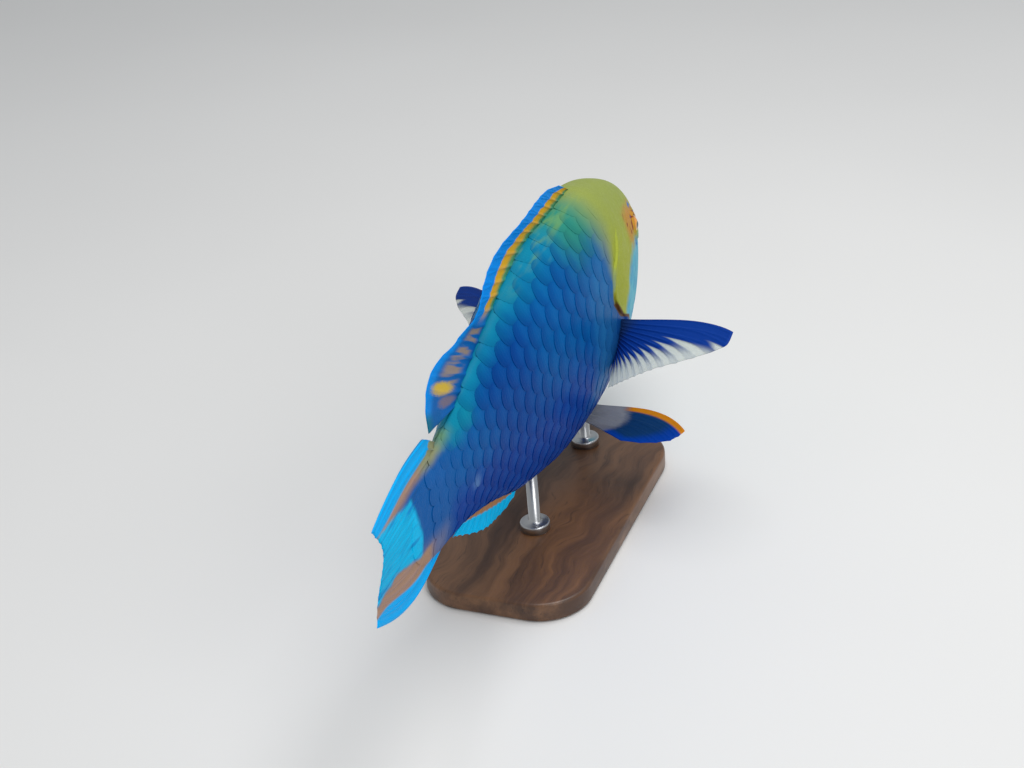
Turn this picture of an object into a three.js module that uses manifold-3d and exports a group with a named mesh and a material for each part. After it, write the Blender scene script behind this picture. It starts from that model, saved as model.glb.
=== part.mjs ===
// A still, life-size model of a parrotfish swimming away with a slight bend, on a display stand.
// Millimetres, +Z up, +X towards the snout, +Y to the fish's left.
// The origin is the middle of the underside of the stand's base.
// The fish is drawn straight first, by its distance from the snout, then bent along its spine.

import * as THREE from "three";
import { mergeVertices } from "three/addons/utils/BufferGeometryUtils.js";
import Module from "manifold-3d";

const wasm = await Module();
wasm.setup();

// Driving sizes of the fish
const TOTAL_LENGTH = 450;
const GAP = 0.3;
const AXIS_HEIGHT = 116;
const BEND_CENTRE = 0.4 * TOTAL_LENGTH;

// Body stations: distance from the snout, back above the axis, belly below it, half the width
const BODY_STATIONS = [
  [0, 0, 3, 0],
  [6, 22, 19, 15],
  [20, 39, 32, 22],
  [40, 51, 41, 27],
  [76, 64, 55, 31.5],
  [126, 75, 65, 33.5],
  [180, 76, 68, 31],
  [232, 65, 59, 24.5],
  [280, 48, 41.5, 17],
  [320, 34, 31, 11],
  [346, 30, 28, 6.8],
  [380, 27, 25, 2.8],
];
const BODY_LENGTH = 380;
const END_ROUND = 14;
const BODY_AROUND = 36;
const BODY_ALONG = 46;
// The sections of the loft stand closer together towards the snout and towards the tail
const SNOUT_CROWDING = 1.7;
const TAIL_CROWDING = 1.6;
const CROWDING_CHANGE = 4;
const POLE_HEIGHT = -1.5;
// The section is a rounded box on the head and an oval behind, narrower towards back and belly
const HEAD_SQUARE = 2.5;
const TAIL_SQUARE = 2.05;
const SQUARE_CHANGE = [30, 230];
const BACK_PINCH = 0.09;

// How the spine bends: distance from the snout and turn per millimetre, positive to the fish's left
const SPINE_TURNS = [
  [0, 0],
  [54, 0],
  [126, -0.001772],
  [225, 0.000759],
  [338, 0.000946],
  [460, 0.000946],
];
const SPINE_STEP = 2.5;
const SPINE_END = 470;
// Behind this place the tail rises as the square of the distance
const LIFT_START = 225;
const LIFT_RATE = 0.00043;

// Where the head, the trunk and the tail stalk part
const HEAD_EDGE = [
  [100, 90],
  [100, 66],
  [104, 50],
  [117, 38],
  [131, 29],
  [136, 18],
  [129, 5],
  [116, -6],
  [105, -22],
  [95, -44],
  [85, -62],
  [80, -90],
];
const GILL_STEP = 0.8;
const GILL_STEP_START = 84;
const GILL_STEP_END = 112;
const STALK_START = 317;
// The blocks that part them reach past the fish on every side
const CUT_AHEAD = -20;
const CUT_BEHIND = 400;
const CUT_HEIGHT = 90;
const CUT_WIDTH = 160;
const CUT_POINTS = 40;

// Mouth and beak
const MOUTH_HEIGHT = -6;
const MOUTH_HALF_WIDTH = 11;
const MOUTH_HALF_HEIGHT = 8;
const LIP_RADIUS = 3.2;
const LIP_THIN = 0.75;
const LIP_STAND = 0.35;
const BEAK_DEPTH = 14;
const BEAK_SIDE_ROOM = 1;
const BEAK_TOP_ROOM = 0.8;
const BEAK_STAND = 2.2;
const BEAK_SEAM = 0.6;

// Eyes and nostrils
const EYE_FROM_SNOUT = 48;
const EYE_HEIGHT = 23.5;
const EYE_RADIUS = 8;
const EYE_STAND = 2;
const LID_RADIUS = 1.5;
const LID_OVERLAP = 0.2;
const LID_FLATNESS = 0.8;
const NOSTRILS = [
  [32, 25.5, 1.5],
  [36, 27.5, 1.8],
];
const NOSTRIL_DEPTH = 2.4;

// Fins: how thick the skin between the rays is at the root and at the margin, how deep the root
// is sunk, how wide half a ray is against the space between two, and how far the margin draws in
// between the rays
const WEB_ROOT = 1.0;
const WEB_EDGE = 0.56;
const ROOT_SINK = 4;
const RAY_HALF_WIDTH = 0.2;
const MARGIN_NOTCH = 0.9;

// Stand
const BASE_LENGTH = 200;
const BASE_WIDTH = 100;
const BASE_HEIGHT = 12;
const BASE_CORNER = 30;
const BASE_BEVEL = 2;
const ROD_RADIUS = 3.5;
const ROD_FOOT_RADIUS = 9;
const ROD_FOOT_HEIGHT = 5;
const ROD_FOOT_BEVEL = 1;
const ROD_INTO_BELLY = 12;
const ROD_PLACES = [
  ["stand_rod_front", 106],
  ["stand_rod_rear", 206],
];

// A smooth curve through stations that never swings past them
function smoothThrough(xs, ys) {
  const slopes = xs.slice(1).map((x, i) => (ys[i + 1] - ys[i]) / (x - xs[i]));
  const tangents = xs.map((_, i) => {
    const before = slopes[Math.max(i - 1, 0)];
    const after = slopes[Math.min(i, slopes.length - 1)];
    return before * after <= 0 ? 0 : (2 * before * after) / (before + after);
  });
  return (x) => {
    const last = xs.length - 2;
    const found = xs.findIndex((v, i) => i > 0 && x <= v);
    const i = found < 0 ? last : Math.min(found - 1, last);
    const step = xs[i + 1] - xs[i];
    const t = THREE.MathUtils.clamp((x - xs[i]) / step, 0, 1);
    const rise = ys[i + 1] - ys[i];
    const a = step * tangents[i] - rise;
    const b = rise - step * tangents[i + 1];
    return ys[i] + t * rise + t * (1 - t) * ((1 - t) * a + t * b);
  };
}

const mix = THREE.MathUtils.lerp;
const column = (rows, k) => rows.map((row) => row[k]);

// The body is read by the square root of the distance, so that the snout comes out round
const stationRoots = column(BODY_STATIONS, 0).map(Math.sqrt);
const backCurve = smoothThrough(stationRoots, column(BODY_STATIONS, 1));
const bellyCurve = smoothThrough(stationRoots, column(BODY_STATIONS, 2));
const widthCurve = smoothThrough(stationRoots, column(BODY_STATIONS, 3));
const backAt = (x) => backCurve(Math.sqrt(Math.max(x, 0)));
const bellyAt = (x) => -bellyCurve(Math.sqrt(Math.max(x, 0)));
const widthAt = (x) => widthCurve(Math.sqrt(Math.max(x, 0)));

// The spine, walked in small steps back from the snout
const turnAt = smoothThrough(column(SPINE_TURNS, 0), column(SPINE_TURNS, 1));
const spine = [];
for (let x = 0, heading = 0, px = 0, py = 0; x <= SPINE_END; x += SPINE_STEP) {
  spine.push({ heading, px, py });
  heading += turnAt(x + SPINE_STEP / 2) * SPINE_STEP;
  px -= Math.cos(heading) * SPINE_STEP;
  py -= Math.sin(heading) * SPINE_STEP;
}

function spineAt(x) {
  const at = THREE.MathUtils.clamp(x / SPINE_STEP, 0, spine.length - 1.001);
  const i = Math.floor(at);
  const key = (name) => mix(spine[i][name], spine[i + 1][name], at - i);
  const ahead = Math.min(x, 0);
  return { heading: key("heading"), px: key("px") - ahead, py: key("py") };
}

// A point of the straight fish, put where the bent fish has it
const centre = spineAt(BEND_CENTRE);
function bent(x, y, z) {
  const s = spineAt(x);
  const lift = LIFT_RATE * Math.max(x - LIFT_START, 0) ** 2;
  const px = s.px - centre.px - y * Math.sin(s.heading);
  const py = s.py - centre.py + y * Math.cos(s.heading);
  const turn = -centre.heading;
  return new THREE.Vector3(
    px * Math.cos(turn) - py * Math.sin(turn),
    px * Math.sin(turn) + py * Math.cos(turn),
    z + lift + AXIS_HEIGHT,
  );
}

// The fish's own directions at one place: forward, left and up
function directions(x) {
  const angle = spineAt(x).heading - centre.heading;
  return {
    forward: new THREE.Vector3(Math.cos(angle), Math.sin(angle), 0),
    left: new THREE.Vector3(-Math.sin(angle), Math.cos(angle), 0),
    up: new THREE.Vector3(0, 0, 1),
  };
}

// Geometry helpers
function moved(geometry, place) {
  const bare = new THREE.BufferGeometry();
  bare.setAttribute("position", geometry.getAttribute("position").clone());
  if (geometry.index) bare.setIndex(geometry.index.clone());
  const merged = mergeVertices(bare, 1e-4);
  const position = merged.getAttribute("position");
  const point = new THREE.Vector3();
  for (let i = 0; i < position.count; i++) {
    point.fromBufferAttribute(position, i);
    const to = place(point);
    position.setXYZ(i, to.x, to.y, to.z);
  }
  return merged;
}

function solid(geometry) {
  const made = new wasm.Manifold(
    new wasm.Mesh({
      numProp: 3,
      vertProperties: new Float32Array(geometry.getAttribute("position").array),
      triVerts: new Uint32Array(geometry.index.array),
    }),
  );
  if (made.volume() > 0) return made;
  const flipped = new Uint32Array(geometry.index.array);
  for (let i = 0; i < flipped.length; i += 3) {
    [flipped[i], flipped[i + 1]] = [flipped[i + 1], flipped[i]];
  }
  return solid(geometry.clone().setIndex(new THREE.BufferAttribute(flipped, 1)));
}

const solidOf = (geometry, place) => solid(moved(geometry, place));

// The largest closed piece of a solid, as a geometry
function geometryOf(made) {
  const pieces = made.decompose();
  pieces.sort((a, b) => b.volume() - a.volume());
  const mesh = pieces[0].getMesh();
  const geometry = new THREE.BufferGeometry();
  const position = new Float32Array(mesh.vertProperties);
  geometry.setAttribute("position", new THREE.BufferAttribute(position, 3));
  geometry.setIndex(new THREE.BufferAttribute(new Uint32Array(mesh.triVerts), 1));
  return geometry;
}

const squareAt = (x) => {
  const back = THREE.MathUtils.smoothstep(x, ...SQUARE_CHANGE);
  return mix(HEAD_SQUARE, TAIL_SQUARE, back);
};
const signedPower = (value, power) => Math.sign(value) * Math.abs(value) ** power;

// Body loft: a unit sphere whose poles are the snout and the tail end
function bodySolid(grow) {
  const ball = new THREE.SphereGeometry(1, BODY_AROUND, BODY_ALONG);
  return solidOf(ball, (p) => {
    const along = Math.acos(THREE.MathUtils.clamp(p.y, -1, 1)) / Math.PI;
    const angle = Math.atan2(p.z, p.x);
    const pole = Math.hypot(p.x, p.z) < 1e-6;
    const early = along ** SNOUT_CROWDING;
    const late = 1 - (1 - along) ** TAIL_CROWDING;
    const x = BODY_LENGTH * mix(early, late, along ** CROWDING_CHANGE);
    const extra = typeof grow === "function" ? grow(x) : grow;
    if (pole) return bent(along < 0.5 ? -extra : BODY_LENGTH + extra, 0, POLE_HEIGHT);
    return surfacePoint(x, angle, extra);
  });
}

// A point of the skin at a distance from the snout and an angle from the left side up to the back
function surfacePoint(x, angle, extra) {
  const high = backAt(x);
  const low = bellyAt(x);
  const middle = (high + low) / 2;
  const toEnd = THREE.MathUtils.clamp((x - BODY_LENGTH) / END_ROUND + 1, 0, 1);
  const round = Math.sqrt(1 - toEnd * toEnd);
  const half = ((high - low) / 2) * round + extra;
  const wide = widthAt(x) * round + extra;
  const power = 2 / squareAt(x);
  const rise = signedPower(Math.sin(angle), power);
  const reach = signedPower(Math.cos(angle), power);
  const y = wide * reach * (1 - BACK_PINCH * rise * rise);
  return bent(x, y, middle + half * rise);
}

// How far back the skin lies from the snout, at a place on the face seen from the front
function faceDepth(y, z) {
  let near = 0;
  let far = BODY_LENGTH / 2;
  for (let i = 0; i < 30; i++) {
    const x = (near + far) / 2;
    if (sideWidth(x, z) > Math.abs(y)) far = x;
    else near = x;
  }
  return far;
}

// How far out to the side the skin lies, at a place seen from the side
function sideWidth(x, z) {
  const middle = (backAt(x) + bellyAt(x)) / 2;
  const half = (backAt(x) - bellyAt(x)) / 2;
  const rise = THREE.MathUtils.clamp(Math.abs(z - middle) / half, 0, 1);
  const square = squareAt(x);
  const reach = (1 - rise ** square) ** (1 / square);
  return widthAt(x) * reach * (1 - BACK_PINCH * rise * rise);
}

// A block across the fish between two outlines seen from the side, front to back
function sideBlock(outline) {
  const shape = new THREE.Shape(outline.map(([x, z]) => new THREE.Vector2(x, z)));
  const block = new THREE.ExtrudeGeometry(shape, { depth: CUT_WIDTH, bevelEnabled: false });
  return solidOf(block, (p) => bent(p.x, p.z - CUT_WIDTH / 2, p.y));
}

const edgeCurve = new THREE.SplineCurve(HEAD_EDGE.map(([x, z]) => new THREE.Vector2(x, z)));
const edgePoints = edgeCurve.getPoints(CUT_POINTS).map((p) => [p.x, p.y]);
const headBlock = (shift) =>
  sideBlock([
    [CUT_AHEAD, CUT_HEIGHT],
    ...edgePoints.map(([x, z]) => [x + shift, z]),
    [CUT_AHEAD, -CUT_HEIGHT],
  ]);
const boxBlock = (front, back, low, high) =>
  sideBlock([
    [front, high],
    [front, low],
    [back, low],
    [back, high],
  ]);
const stalkBlock = (start) => boxBlock(start, CUT_BEHIND, -CUT_HEIGHT, CUT_HEIGHT);

const gillStep = (x) =>
  GILL_STEP * THREE.MathUtils.smoothstep(x, GILL_STEP_START, GILL_STEP_END);
const body = bodySolid(0);
const bodyClear = bodySolid(GAP);
const headClear = bodySolid((x) => gillStep(x) + GAP).intersect(headBlock(GAP));
const fishClear = bodyClear.add(headClear);

// Head: lips, beak socket, eye sockets, lids and nostrils
function ball(x, y, z, rx, ry, rz, segments) {
  const sphere = new THREE.SphereGeometry(1, segments, Math.round(segments / 2) + 2);
  return solidOf(sphere, (p) => bent(x + rx * p.x, y + ry * p.y, z + rz * p.z));
}

// A ring whose section is a unit circle: place gets the angle round the ring and the section's point
function ring(place, radialSegments, tubularSegments) {
  const radius = 10;
  const torus = new THREE.TorusGeometry(radius, 1, radialSegments, tubularSegments);
  return solidOf(torus, (p) => {
    const around = Math.atan2(p.y, p.x);
    const out = Math.hypot(p.x, p.y) - radius;
    return place(around, out, p.z);
  });
}

function lipRing() {
  return ring(
    (around, out, over) => {
      const thick = LIP_RADIUS * mix(LIP_THIN, 1, Math.abs(Math.sin(around)));
      const y = MOUTH_HALF_WIDTH * Math.cos(around);
      const z = MOUTH_HEIGHT + MOUTH_HALF_HEIGHT * Math.sin(around);
      const x = faceDepth(y, z) + thick * (LIP_STAND - over);
      const wider = out * thick;
      return bent(x, y + wider * Math.cos(around), z + wider * Math.sin(around));
    },
    8,
    30,
  );
}

const mouthDepth = faceDepth(0, MOUTH_HEIGHT);
const beakBall = (grow) =>
  ball(
    mouthDepth - BEAK_STAND + BEAK_DEPTH,
    0,
    MOUTH_HEIGHT,
    BEAK_DEPTH + grow,
    MOUTH_HALF_WIDTH - BEAK_SIDE_ROOM + grow,
    MOUTH_HALF_HEIGHT - BEAK_TOP_ROOM + grow,
    20,
  );

const eyeMiddle = (side) =>
  side * (sideWidth(EYE_FROM_SNOUT, EYE_HEIGHT) + EYE_STAND - EYE_RADIUS);
const eyeBall = (side, grow) => {
  const r = EYE_RADIUS + grow;
  return ball(EYE_FROM_SNOUT, eyeMiddle(side), EYE_HEIGHT, r, r, r, 20);
};

function lidRing(side) {
  return ring(
    (around, out, over) => {
      const radius = EYE_RADIUS - LID_OVERLAP + out * LID_RADIUS;
      const x = EYE_FROM_SNOUT + radius * Math.cos(around);
      const z = EYE_HEIGHT + radius * Math.sin(around);
      const y = side * (sideWidth(x, z) + over * LID_RADIUS * LID_FLATNESS);
      return bent(x, y, z);
    },
    6,
    22,
  );
}

function nostrilPit(side, [x, z, radius]) {
  return ball(x, side * sideWidth(x, z), z, radius, NOSTRIL_DEPTH, radius, 8);
}

let head = bodySolid(gillStep).intersect(headBlock(0)).add(lipRing());
head = head.add(lidRing(1)).add(lidRing(-1));
head = head.subtract(beakBall(GAP));
for (const side of [1, -1]) {
  head = head.subtract(eyeBall(side, GAP));
  for (const nostril of NOSTRILS) head = head.subtract(nostrilPit(side, nostril));
}

const trunk = body.subtract(headBlock(GAP)).subtract(stalkBlock(STALK_START));
const tailStalk = body.intersect(stalkBlock(STALK_START + GAP));

const beakBlock = (low, high) => boxBlock(CUT_AHEAD, CUT_BEHIND, low, high);
const upperBeak = beakBall(0).intersect(beakBlock(MOUTH_HEIGHT + BEAK_SEAM / 2, CUT_HEIGHT));
const lowerBeak = beakBall(0).intersect(beakBlock(-CUT_HEIGHT, MOUTH_HEIGHT - BEAK_SEAM / 2));

// A fin: a thin plate of rows from root to margin and three columns for each ray.
// place gives the middle of the plate and thick its thickness; both faces have the same triangles.
function finPlate({ rays, rows, rayRoot, rayEdge }, place) {
  const columns = [];
  for (let i = 0; i < rays; i++) {
    const at = i / (rays - 1);
    const reach = RAY_HALF_WIDTH / (rays - 1);
    if (i > 0) columns.push([at - reach, 0]);
    columns.push([at, 1]);
    if (i < rays - 1) columns.push([at + reach, 0]);
  }
  const wide = columns.length;
  const positions = [];
  for (const side of [1, -1]) {
    for (let j = 0; j <= rows; j++) {
      for (const [u, ridge] of columns) {
        const v = j / rows;
        const web = mix(WEB_ROOT, WEB_EDGE, v);
        const ray = mix(rayRoot, rayEdge, v);
        const thick = ridge ? Math.max(ray, web) : web;
        const { point, across } = place(u, v, ridge);
        positions.push(...point.addScaledVector(across, (side * thick) / 2).toArray());
      }
    }
  }
  const face = wide * (rows + 1);
  const triangles = [];
  const quad = (a, b, c, d) => triangles.push(a, b, c, a, c, d);
  for (let j = 0; j < rows; j++) {
    for (let i = 0; i < wide - 1; i++) {
      const a = j * wide + i;
      quad(a, a + 1, a + 1 + wide, a + wide);
      const b = a + face;
      triangles.push(b, b + 1 + wide, b + 1, b, b + wide, b + 1 + wide);
    }
  }
  const rim = [];
  for (let i = 0; i < wide; i++) rim.push(i);
  for (let j = 1; j <= rows; j++) rim.push(j * wide + wide - 1);
  for (let i = wide - 2; i >= 0; i--) rim.push(rows * wide + i);
  for (let j = rows - 1; j > 0; j--) rim.push(j * wide);
  rim.forEach((a, k) => {
    const b = rim[(k + 1) % rim.length];
    quad(b, a, a + face, b + face);
  });
  const geometry = new THREE.BufferGeometry();
  geometry.setAttribute("position", new THREE.Float32BufferAttribute(positions, 3));
  geometry.setIndex(triangles);
  return solid(geometry);
}

const degrees = THREE.MathUtils.degToRad;

// Dorsal fin: spines in front, soft rays behind, all leaning back
const DORSAL = { rays: 19, rows: 4, rayRoot: 2.6, rayEdge: 0.7 };
const DORSAL_START = 109;
const DORSAL_END = 313;
const DORSAL_PLACES = [0, 0.08, 0.2, 0.4, 0.55, 0.68, 0.78, 0.88, 0.94, 0.97, 1];
const DORSAL_LENGTH = smoothThrough(DORSAL_PLACES, [20, 30, 31, 33, 32, 27, 26, 47, 54, 54, 46]);
const DORSAL_LEAN = smoothThrough(DORSAL_PLACES, [60, 61, 61, 68, 72, 71, 61, 64, 66, 70, 81]);
const DORSAL_WAVE_FRONT = 0.6;
const DORSAL_WAVE_REAR = 2.8;
const DORSAL_WAVES = 17;
function dorsalPlace(u, v, ridge) {
  const base = mix(DORSAL_START, DORSAL_END, u);
  const lean = degrees(DORSAL_LEAN(u));
  const notch = ridge ? 0 : MARGIN_NOTCH;
  const reach = v * (DORSAL_LENGTH(u) - notch + ROOT_SINK) - ROOT_SINK;
  const x = base + reach * Math.sin(lean);
  const z = backAt(base) + reach * Math.cos(lean);
  const wave = v * mix(DORSAL_WAVE_FRONT, DORSAL_WAVE_REAR, u) * Math.sin(u * DORSAL_WAVES);
  return { point: bent(x, wave, z), across: directions(x).left };
}

// Anal fin
const ANAL = { rays: 12, rows: 4, rayRoot: 2.2, rayEdge: 0.7 };
const ANAL_START = 230;
const ANAL_END = 312;
const ANAL_LENGTH = smoothThrough([0, 0.15, 0.5, 1], [7, 13, 17, 19]);
const ANAL_LEAN = smoothThrough([0, 0.5, 1], [45, 53, 88]);
const ANAL_WAVE = 1.2;
const ANAL_WAVES = 9;
function analPlace(u, v, ridge) {
  const base = mix(ANAL_START, ANAL_END, u);
  const lean = degrees(ANAL_LEAN(u));
  const notch = ridge ? 0 : MARGIN_NOTCH;
  const reach = v * (ANAL_LENGTH(u) - notch + ROOT_SINK) - ROOT_SINK;
  const x = base + reach * Math.sin(lean);
  const z = bellyAt(base) - reach * Math.cos(lean);
  const wave = ANAL_WAVE * v * Math.sin(u * ANAL_WAVES);
  return { point: bent(x, wave, z), across: directions(x).left };
}

// Caudal fin, nearly folded, with its lower lobe the longer
const CAUDAL = { rays: 13, rows: 6, rayRoot: 2.4, rayEdge: 0.7 };
const CAUDAL_START = 346;
const CAUDAL_TOP = 39;
const CAUDAL_BOTTOM = -25;
const CAUDAL_TIP_TOP = 34;
const CAUDAL_TIP_BOTTOM = -12;
const CAUDAL_END = smoothThrough([0, 0.14, 0.38, 0.73, 1], [464, 458, 451, 447, 454]);
// How far the upper and the lower margin curve outwards, and how far the upper one drops at the
// stalk, over the first share of its length
const CAUDAL_BULGE_TOP = 4;
const CAUDAL_BULGE_BOTTOM = 11;
const CAUDAL_SHOULDER = 7;
const CAUDAL_SHOULDER_SHARE = 0.12;
const CAUDAL_WAVE = 1.5;
const CAUDAL_WAVES = 6;
const CAUDAL_WAVE_START = 0.6;
function caudalPlace(u, v, ridge) {
  const end = CAUDAL_END(u) - (ridge ? 0 : MARGIN_NOTCH);
  const x = mix(CAUDAL_START, end, v);
  const shoulder = CAUDAL_SHOULDER * Math.max(1 - v / CAUDAL_SHOULDER_SHARE, 0);
  const root = mix(CAUDAL_BOTTOM, CAUDAL_TOP - shoulder, u);
  const tip = mix(CAUDAL_TIP_BOTTOM, CAUDAL_TIP_TOP, u);
  const bulge = mix(-CAUDAL_BULGE_BOTTOM, CAUDAL_BULGE_TOP, u) * Math.sin(v * Math.PI);
  const z = mix(root, tip, v) + bulge;
  const wave = CAUDAL_WAVE * v * Math.sin(u * CAUDAL_WAVES + CAUDAL_WAVE_START);
  return { point: bent(x, wave, z), across: directions(x).left };
}

// Paired fins: a fan of rays from a root line, each with its own direction and length.
// The front rays bow forward by the curl, most at two thirds of their length.
const CURL_PEAK = 27 / 4;
function fanPlace(fan) {
  const { side, roots, first, last, lengths, cup, curl } = fan;
  const frame = directions(roots[0][0]);
  const aim = ([sweep, rise]) =>
    new THREE.Vector3()
      .addScaledVector(frame.left, side * Math.cos(degrees(sweep)) * Math.cos(degrees(rise)))
      .addScaledVector(frame.forward, -Math.sin(degrees(sweep)) * Math.cos(degrees(rise)))
      .addScaledVector(frame.up, Math.sin(degrees(rise)));
  const a = aim(first);
  const b = aim(last);
  const spread = a.angleTo(b);
  const normal = a.clone().cross(b).normalize();
  const [from, to] = roots.map(([x, y, z]) => bent(x, side * y, z));
  return (u, v, ridge) => {
    const direction = a.clone().applyAxisAngle(normal, spread * u);
    const notch = ridge ? 0 : MARGIN_NOTCH;
    const reach = v * (lengths(u) - notch + ROOT_SINK) - ROOT_SINK;
    const point = from.clone().lerp(to, u).addScaledVector(direction, reach);
    const forward = direction.clone().applyAxisAngle(normal, -Math.PI / 2);
    point.addScaledVector(forward, curl * CURL_PEAK * v * v * (1 - v) * (1 - u));
    return { point: point.addScaledVector(normal, cup * v * v), across: normal };
  };
}

const PECTORAL = { rays: 14, rows: 5, rayRoot: 2.4, rayEdge: 0.6 };
const PECTORAL_PLACES = [0, 0.08, 0.15, 0.25, 0.45, 0.7, 1];
const rightPectoralLengths = smoothThrough(PECTORAL_PLACES, [82, 83.5, 77, 65, 47, 36, 28]);
const leftPectoralLengths = smoothThrough(PECTORAL_PLACES, [80, 83, 79, 67, 52, 40, 28]);
const pectoralRoots = [
  [124, sideWidth(124, -4) - 1, -4],
  [131, sideWidth(131, -25) - 1, -25],
];
const PELVIC = { rays: 6, rows: 5, rayRoot: 2.4, rayEdge: 0.6 };
const pelvicLengths = smoothThrough([0, 0.3, 0.7, 1], [68, 66, 53, 36]);
const pelvicRoots = [
  [130, 10, bellyAt(130) + 4.6],
  [140, 6, bellyAt(140) + 2],
];
const FANS = {
  pectoral_fin_right: {
    side: -1,
    roots: pectoralRoots,
    first: [23, 11],
    last: [86, -10],
    lengths: rightPectoralLengths,
    cup: 2,
    curl: 5,
    make: PECTORAL,
  },
  pectoral_fin_left: {
    side: 1,
    roots: pectoralRoots,
    first: [-42, -8],
    last: [-13, -44],
    lengths: leftPectoralLengths,
    cup: -3.5,
    curl: 4,
    make: PECTORAL,
  },
  pelvic_fin_right: {
    side: -1,
    roots: pelvicRoots,
    first: [16, 1],
    last: [28, -2],
    lengths: pelvicLengths,
    cup: 3,
    curl: 8,
    make: PELVIC,
  },
  pelvic_fin_left: {
    side: 1,
    roots: pelvicRoots,
    first: [34, -8],
    last: [54, -16],
    lengths: pelvicLengths,
    cup: -3,
    curl: 5,
    make: PELVIC,
  },
};

const dorsalFin = finPlate(DORSAL, dorsalPlace).subtract(fishClear);
const analFin = finPlate(ANAL, analPlace).subtract(fishClear);
const caudalFin = finPlate(CAUDAL, caudalPlace).subtract(fishClear);

// Stand: a plain plate with rounded corners and two rods cut to the belly's shape
function baseSolid() {
  const w = BASE_LENGTH / 2 - BASE_BEVEL;
  const d = BASE_WIDTH / 2 - BASE_BEVEL;
  const r = BASE_CORNER;
  const shape = new THREE.Shape();
  shape.moveTo(-w + r, -d);
  shape.lineTo(w - r, -d);
  shape.absarc(w - r, -d + r, r, -Math.PI / 2, 0);
  shape.lineTo(w, d - r);
  shape.absarc(w - r, d - r, r, 0, Math.PI / 2);
  shape.lineTo(-w + r, d);
  shape.absarc(-w + r, d - r, r, Math.PI / 2, Math.PI);
  shape.lineTo(-w, -d + r);
  shape.absarc(-w + r, -d + r, r, Math.PI, 1.5 * Math.PI);
  const plate = new THREE.ExtrudeGeometry(shape, {
    depth: BASE_HEIGHT - BASE_BEVEL * 2,
    bevelThickness: BASE_BEVEL,
    bevelSize: BASE_BEVEL,
    bevelSegments: 2,
    curveSegments: 8,
  });
  plate.translate(0, 0, BASE_BEVEL);
  return solidOf(plate, (p) => p.clone());
}

function rodSolid(fromSnout) {
  const foot = BASE_HEIGHT + GAP;
  const top = AXIS_HEIGHT + bellyAt(fromSnout) + ROD_INTO_BELLY;
  const profile = [
    [0, foot],
    [ROD_FOOT_RADIUS, foot],
    [ROD_FOOT_RADIUS, foot + ROD_FOOT_HEIGHT - ROD_FOOT_BEVEL],
    [ROD_FOOT_RADIUS - ROD_FOOT_BEVEL, foot + ROD_FOOT_HEIGHT],
    [ROD_RADIUS, foot + ROD_FOOT_HEIGHT],
    [ROD_RADIUS, top],
    [0, top],
  ];
  const lathe = new THREE.LatheGeometry(
    profile.map(([r, z]) => new THREE.Vector2(r, z)),
    28,
  );
  const under = bent(fromSnout, 0, 0);
  const rod = solidOf(lathe, (p) => new THREE.Vector3(under.x + p.x, under.y - p.z, p.y));
  return rod.subtract(fishClear);
}

const colours = {
  head: [0x96a24b, 0.45],
  trunk: [0x135391, 0.4],
  fin: [0x0a9be0, 0.5],
  pectoral: [0x183c8a, 0.5],
  pelvic: [0x163768, 0.5],
  eye: [0xd08030, 0.15],
  beak: [0x7fc4b4, 0.3],
  plate: [0x2e2a28, 0.55],
  rod: [0xb9bcc0, 0.3],
};
const finishes = {};
for (const [name, [color, roughness]] of Object.entries(colours)) {
  const metalness = name === "rod" ? 1 : 0;
  finishes[name] = new THREE.MeshStandardMaterial({ name, color, roughness, metalness });
}

const group = new THREE.Group();
function add(name, made, finish) {
  const mesh = new THREE.Mesh(geometryOf(made), finishes[finish]);
  mesh.name = name;
  mesh.geometry.computeVertexNormals();
  group.add(mesh);
}

add("head", head, "head");
add("trunk", trunk, "trunk");
add("tail_stalk", tailStalk, "trunk");
add("beak_upper", upperBeak, "beak");
add("beak_lower", lowerBeak, "beak");
add("eye_left", eyeBall(1, 0), "eye");
add("eye_right", eyeBall(-1, 0), "eye");
add("dorsal_fin", dorsalFin, "fin");
add("anal_fin", analFin, "fin");
add("caudal_fin", caudalFin, "fin");
for (const [name, fan] of Object.entries(FANS)) {
  const plate = finPlate(fan.make, fanPlace(fan)).subtract(fishClear);
  add(name, plate, name.startsWith("pelvic") ? "pelvic" : "pectoral");
}
add("stand_base", baseSolid(), "plate");
for (const [name, fromSnout] of ROD_PLACES) add(name, rodSolid(fromSnout), "rod");

export default group;
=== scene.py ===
# %% [markdown]
# # A parrotfish on a display stand
#
# This script dresses a life-size parrotfish that stands on two rods over a small wooden board.
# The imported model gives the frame: where the fish is, how long it is and how it bends.
# Every piece below is drawn on a straight fish first, by its distance from the snout, and
# then bent along the spine, because a straight fish is far easier to measure and to shape.

import math

import bmesh
import bpy
import numpy as np
from mathutils import Matrix, Vector


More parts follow.
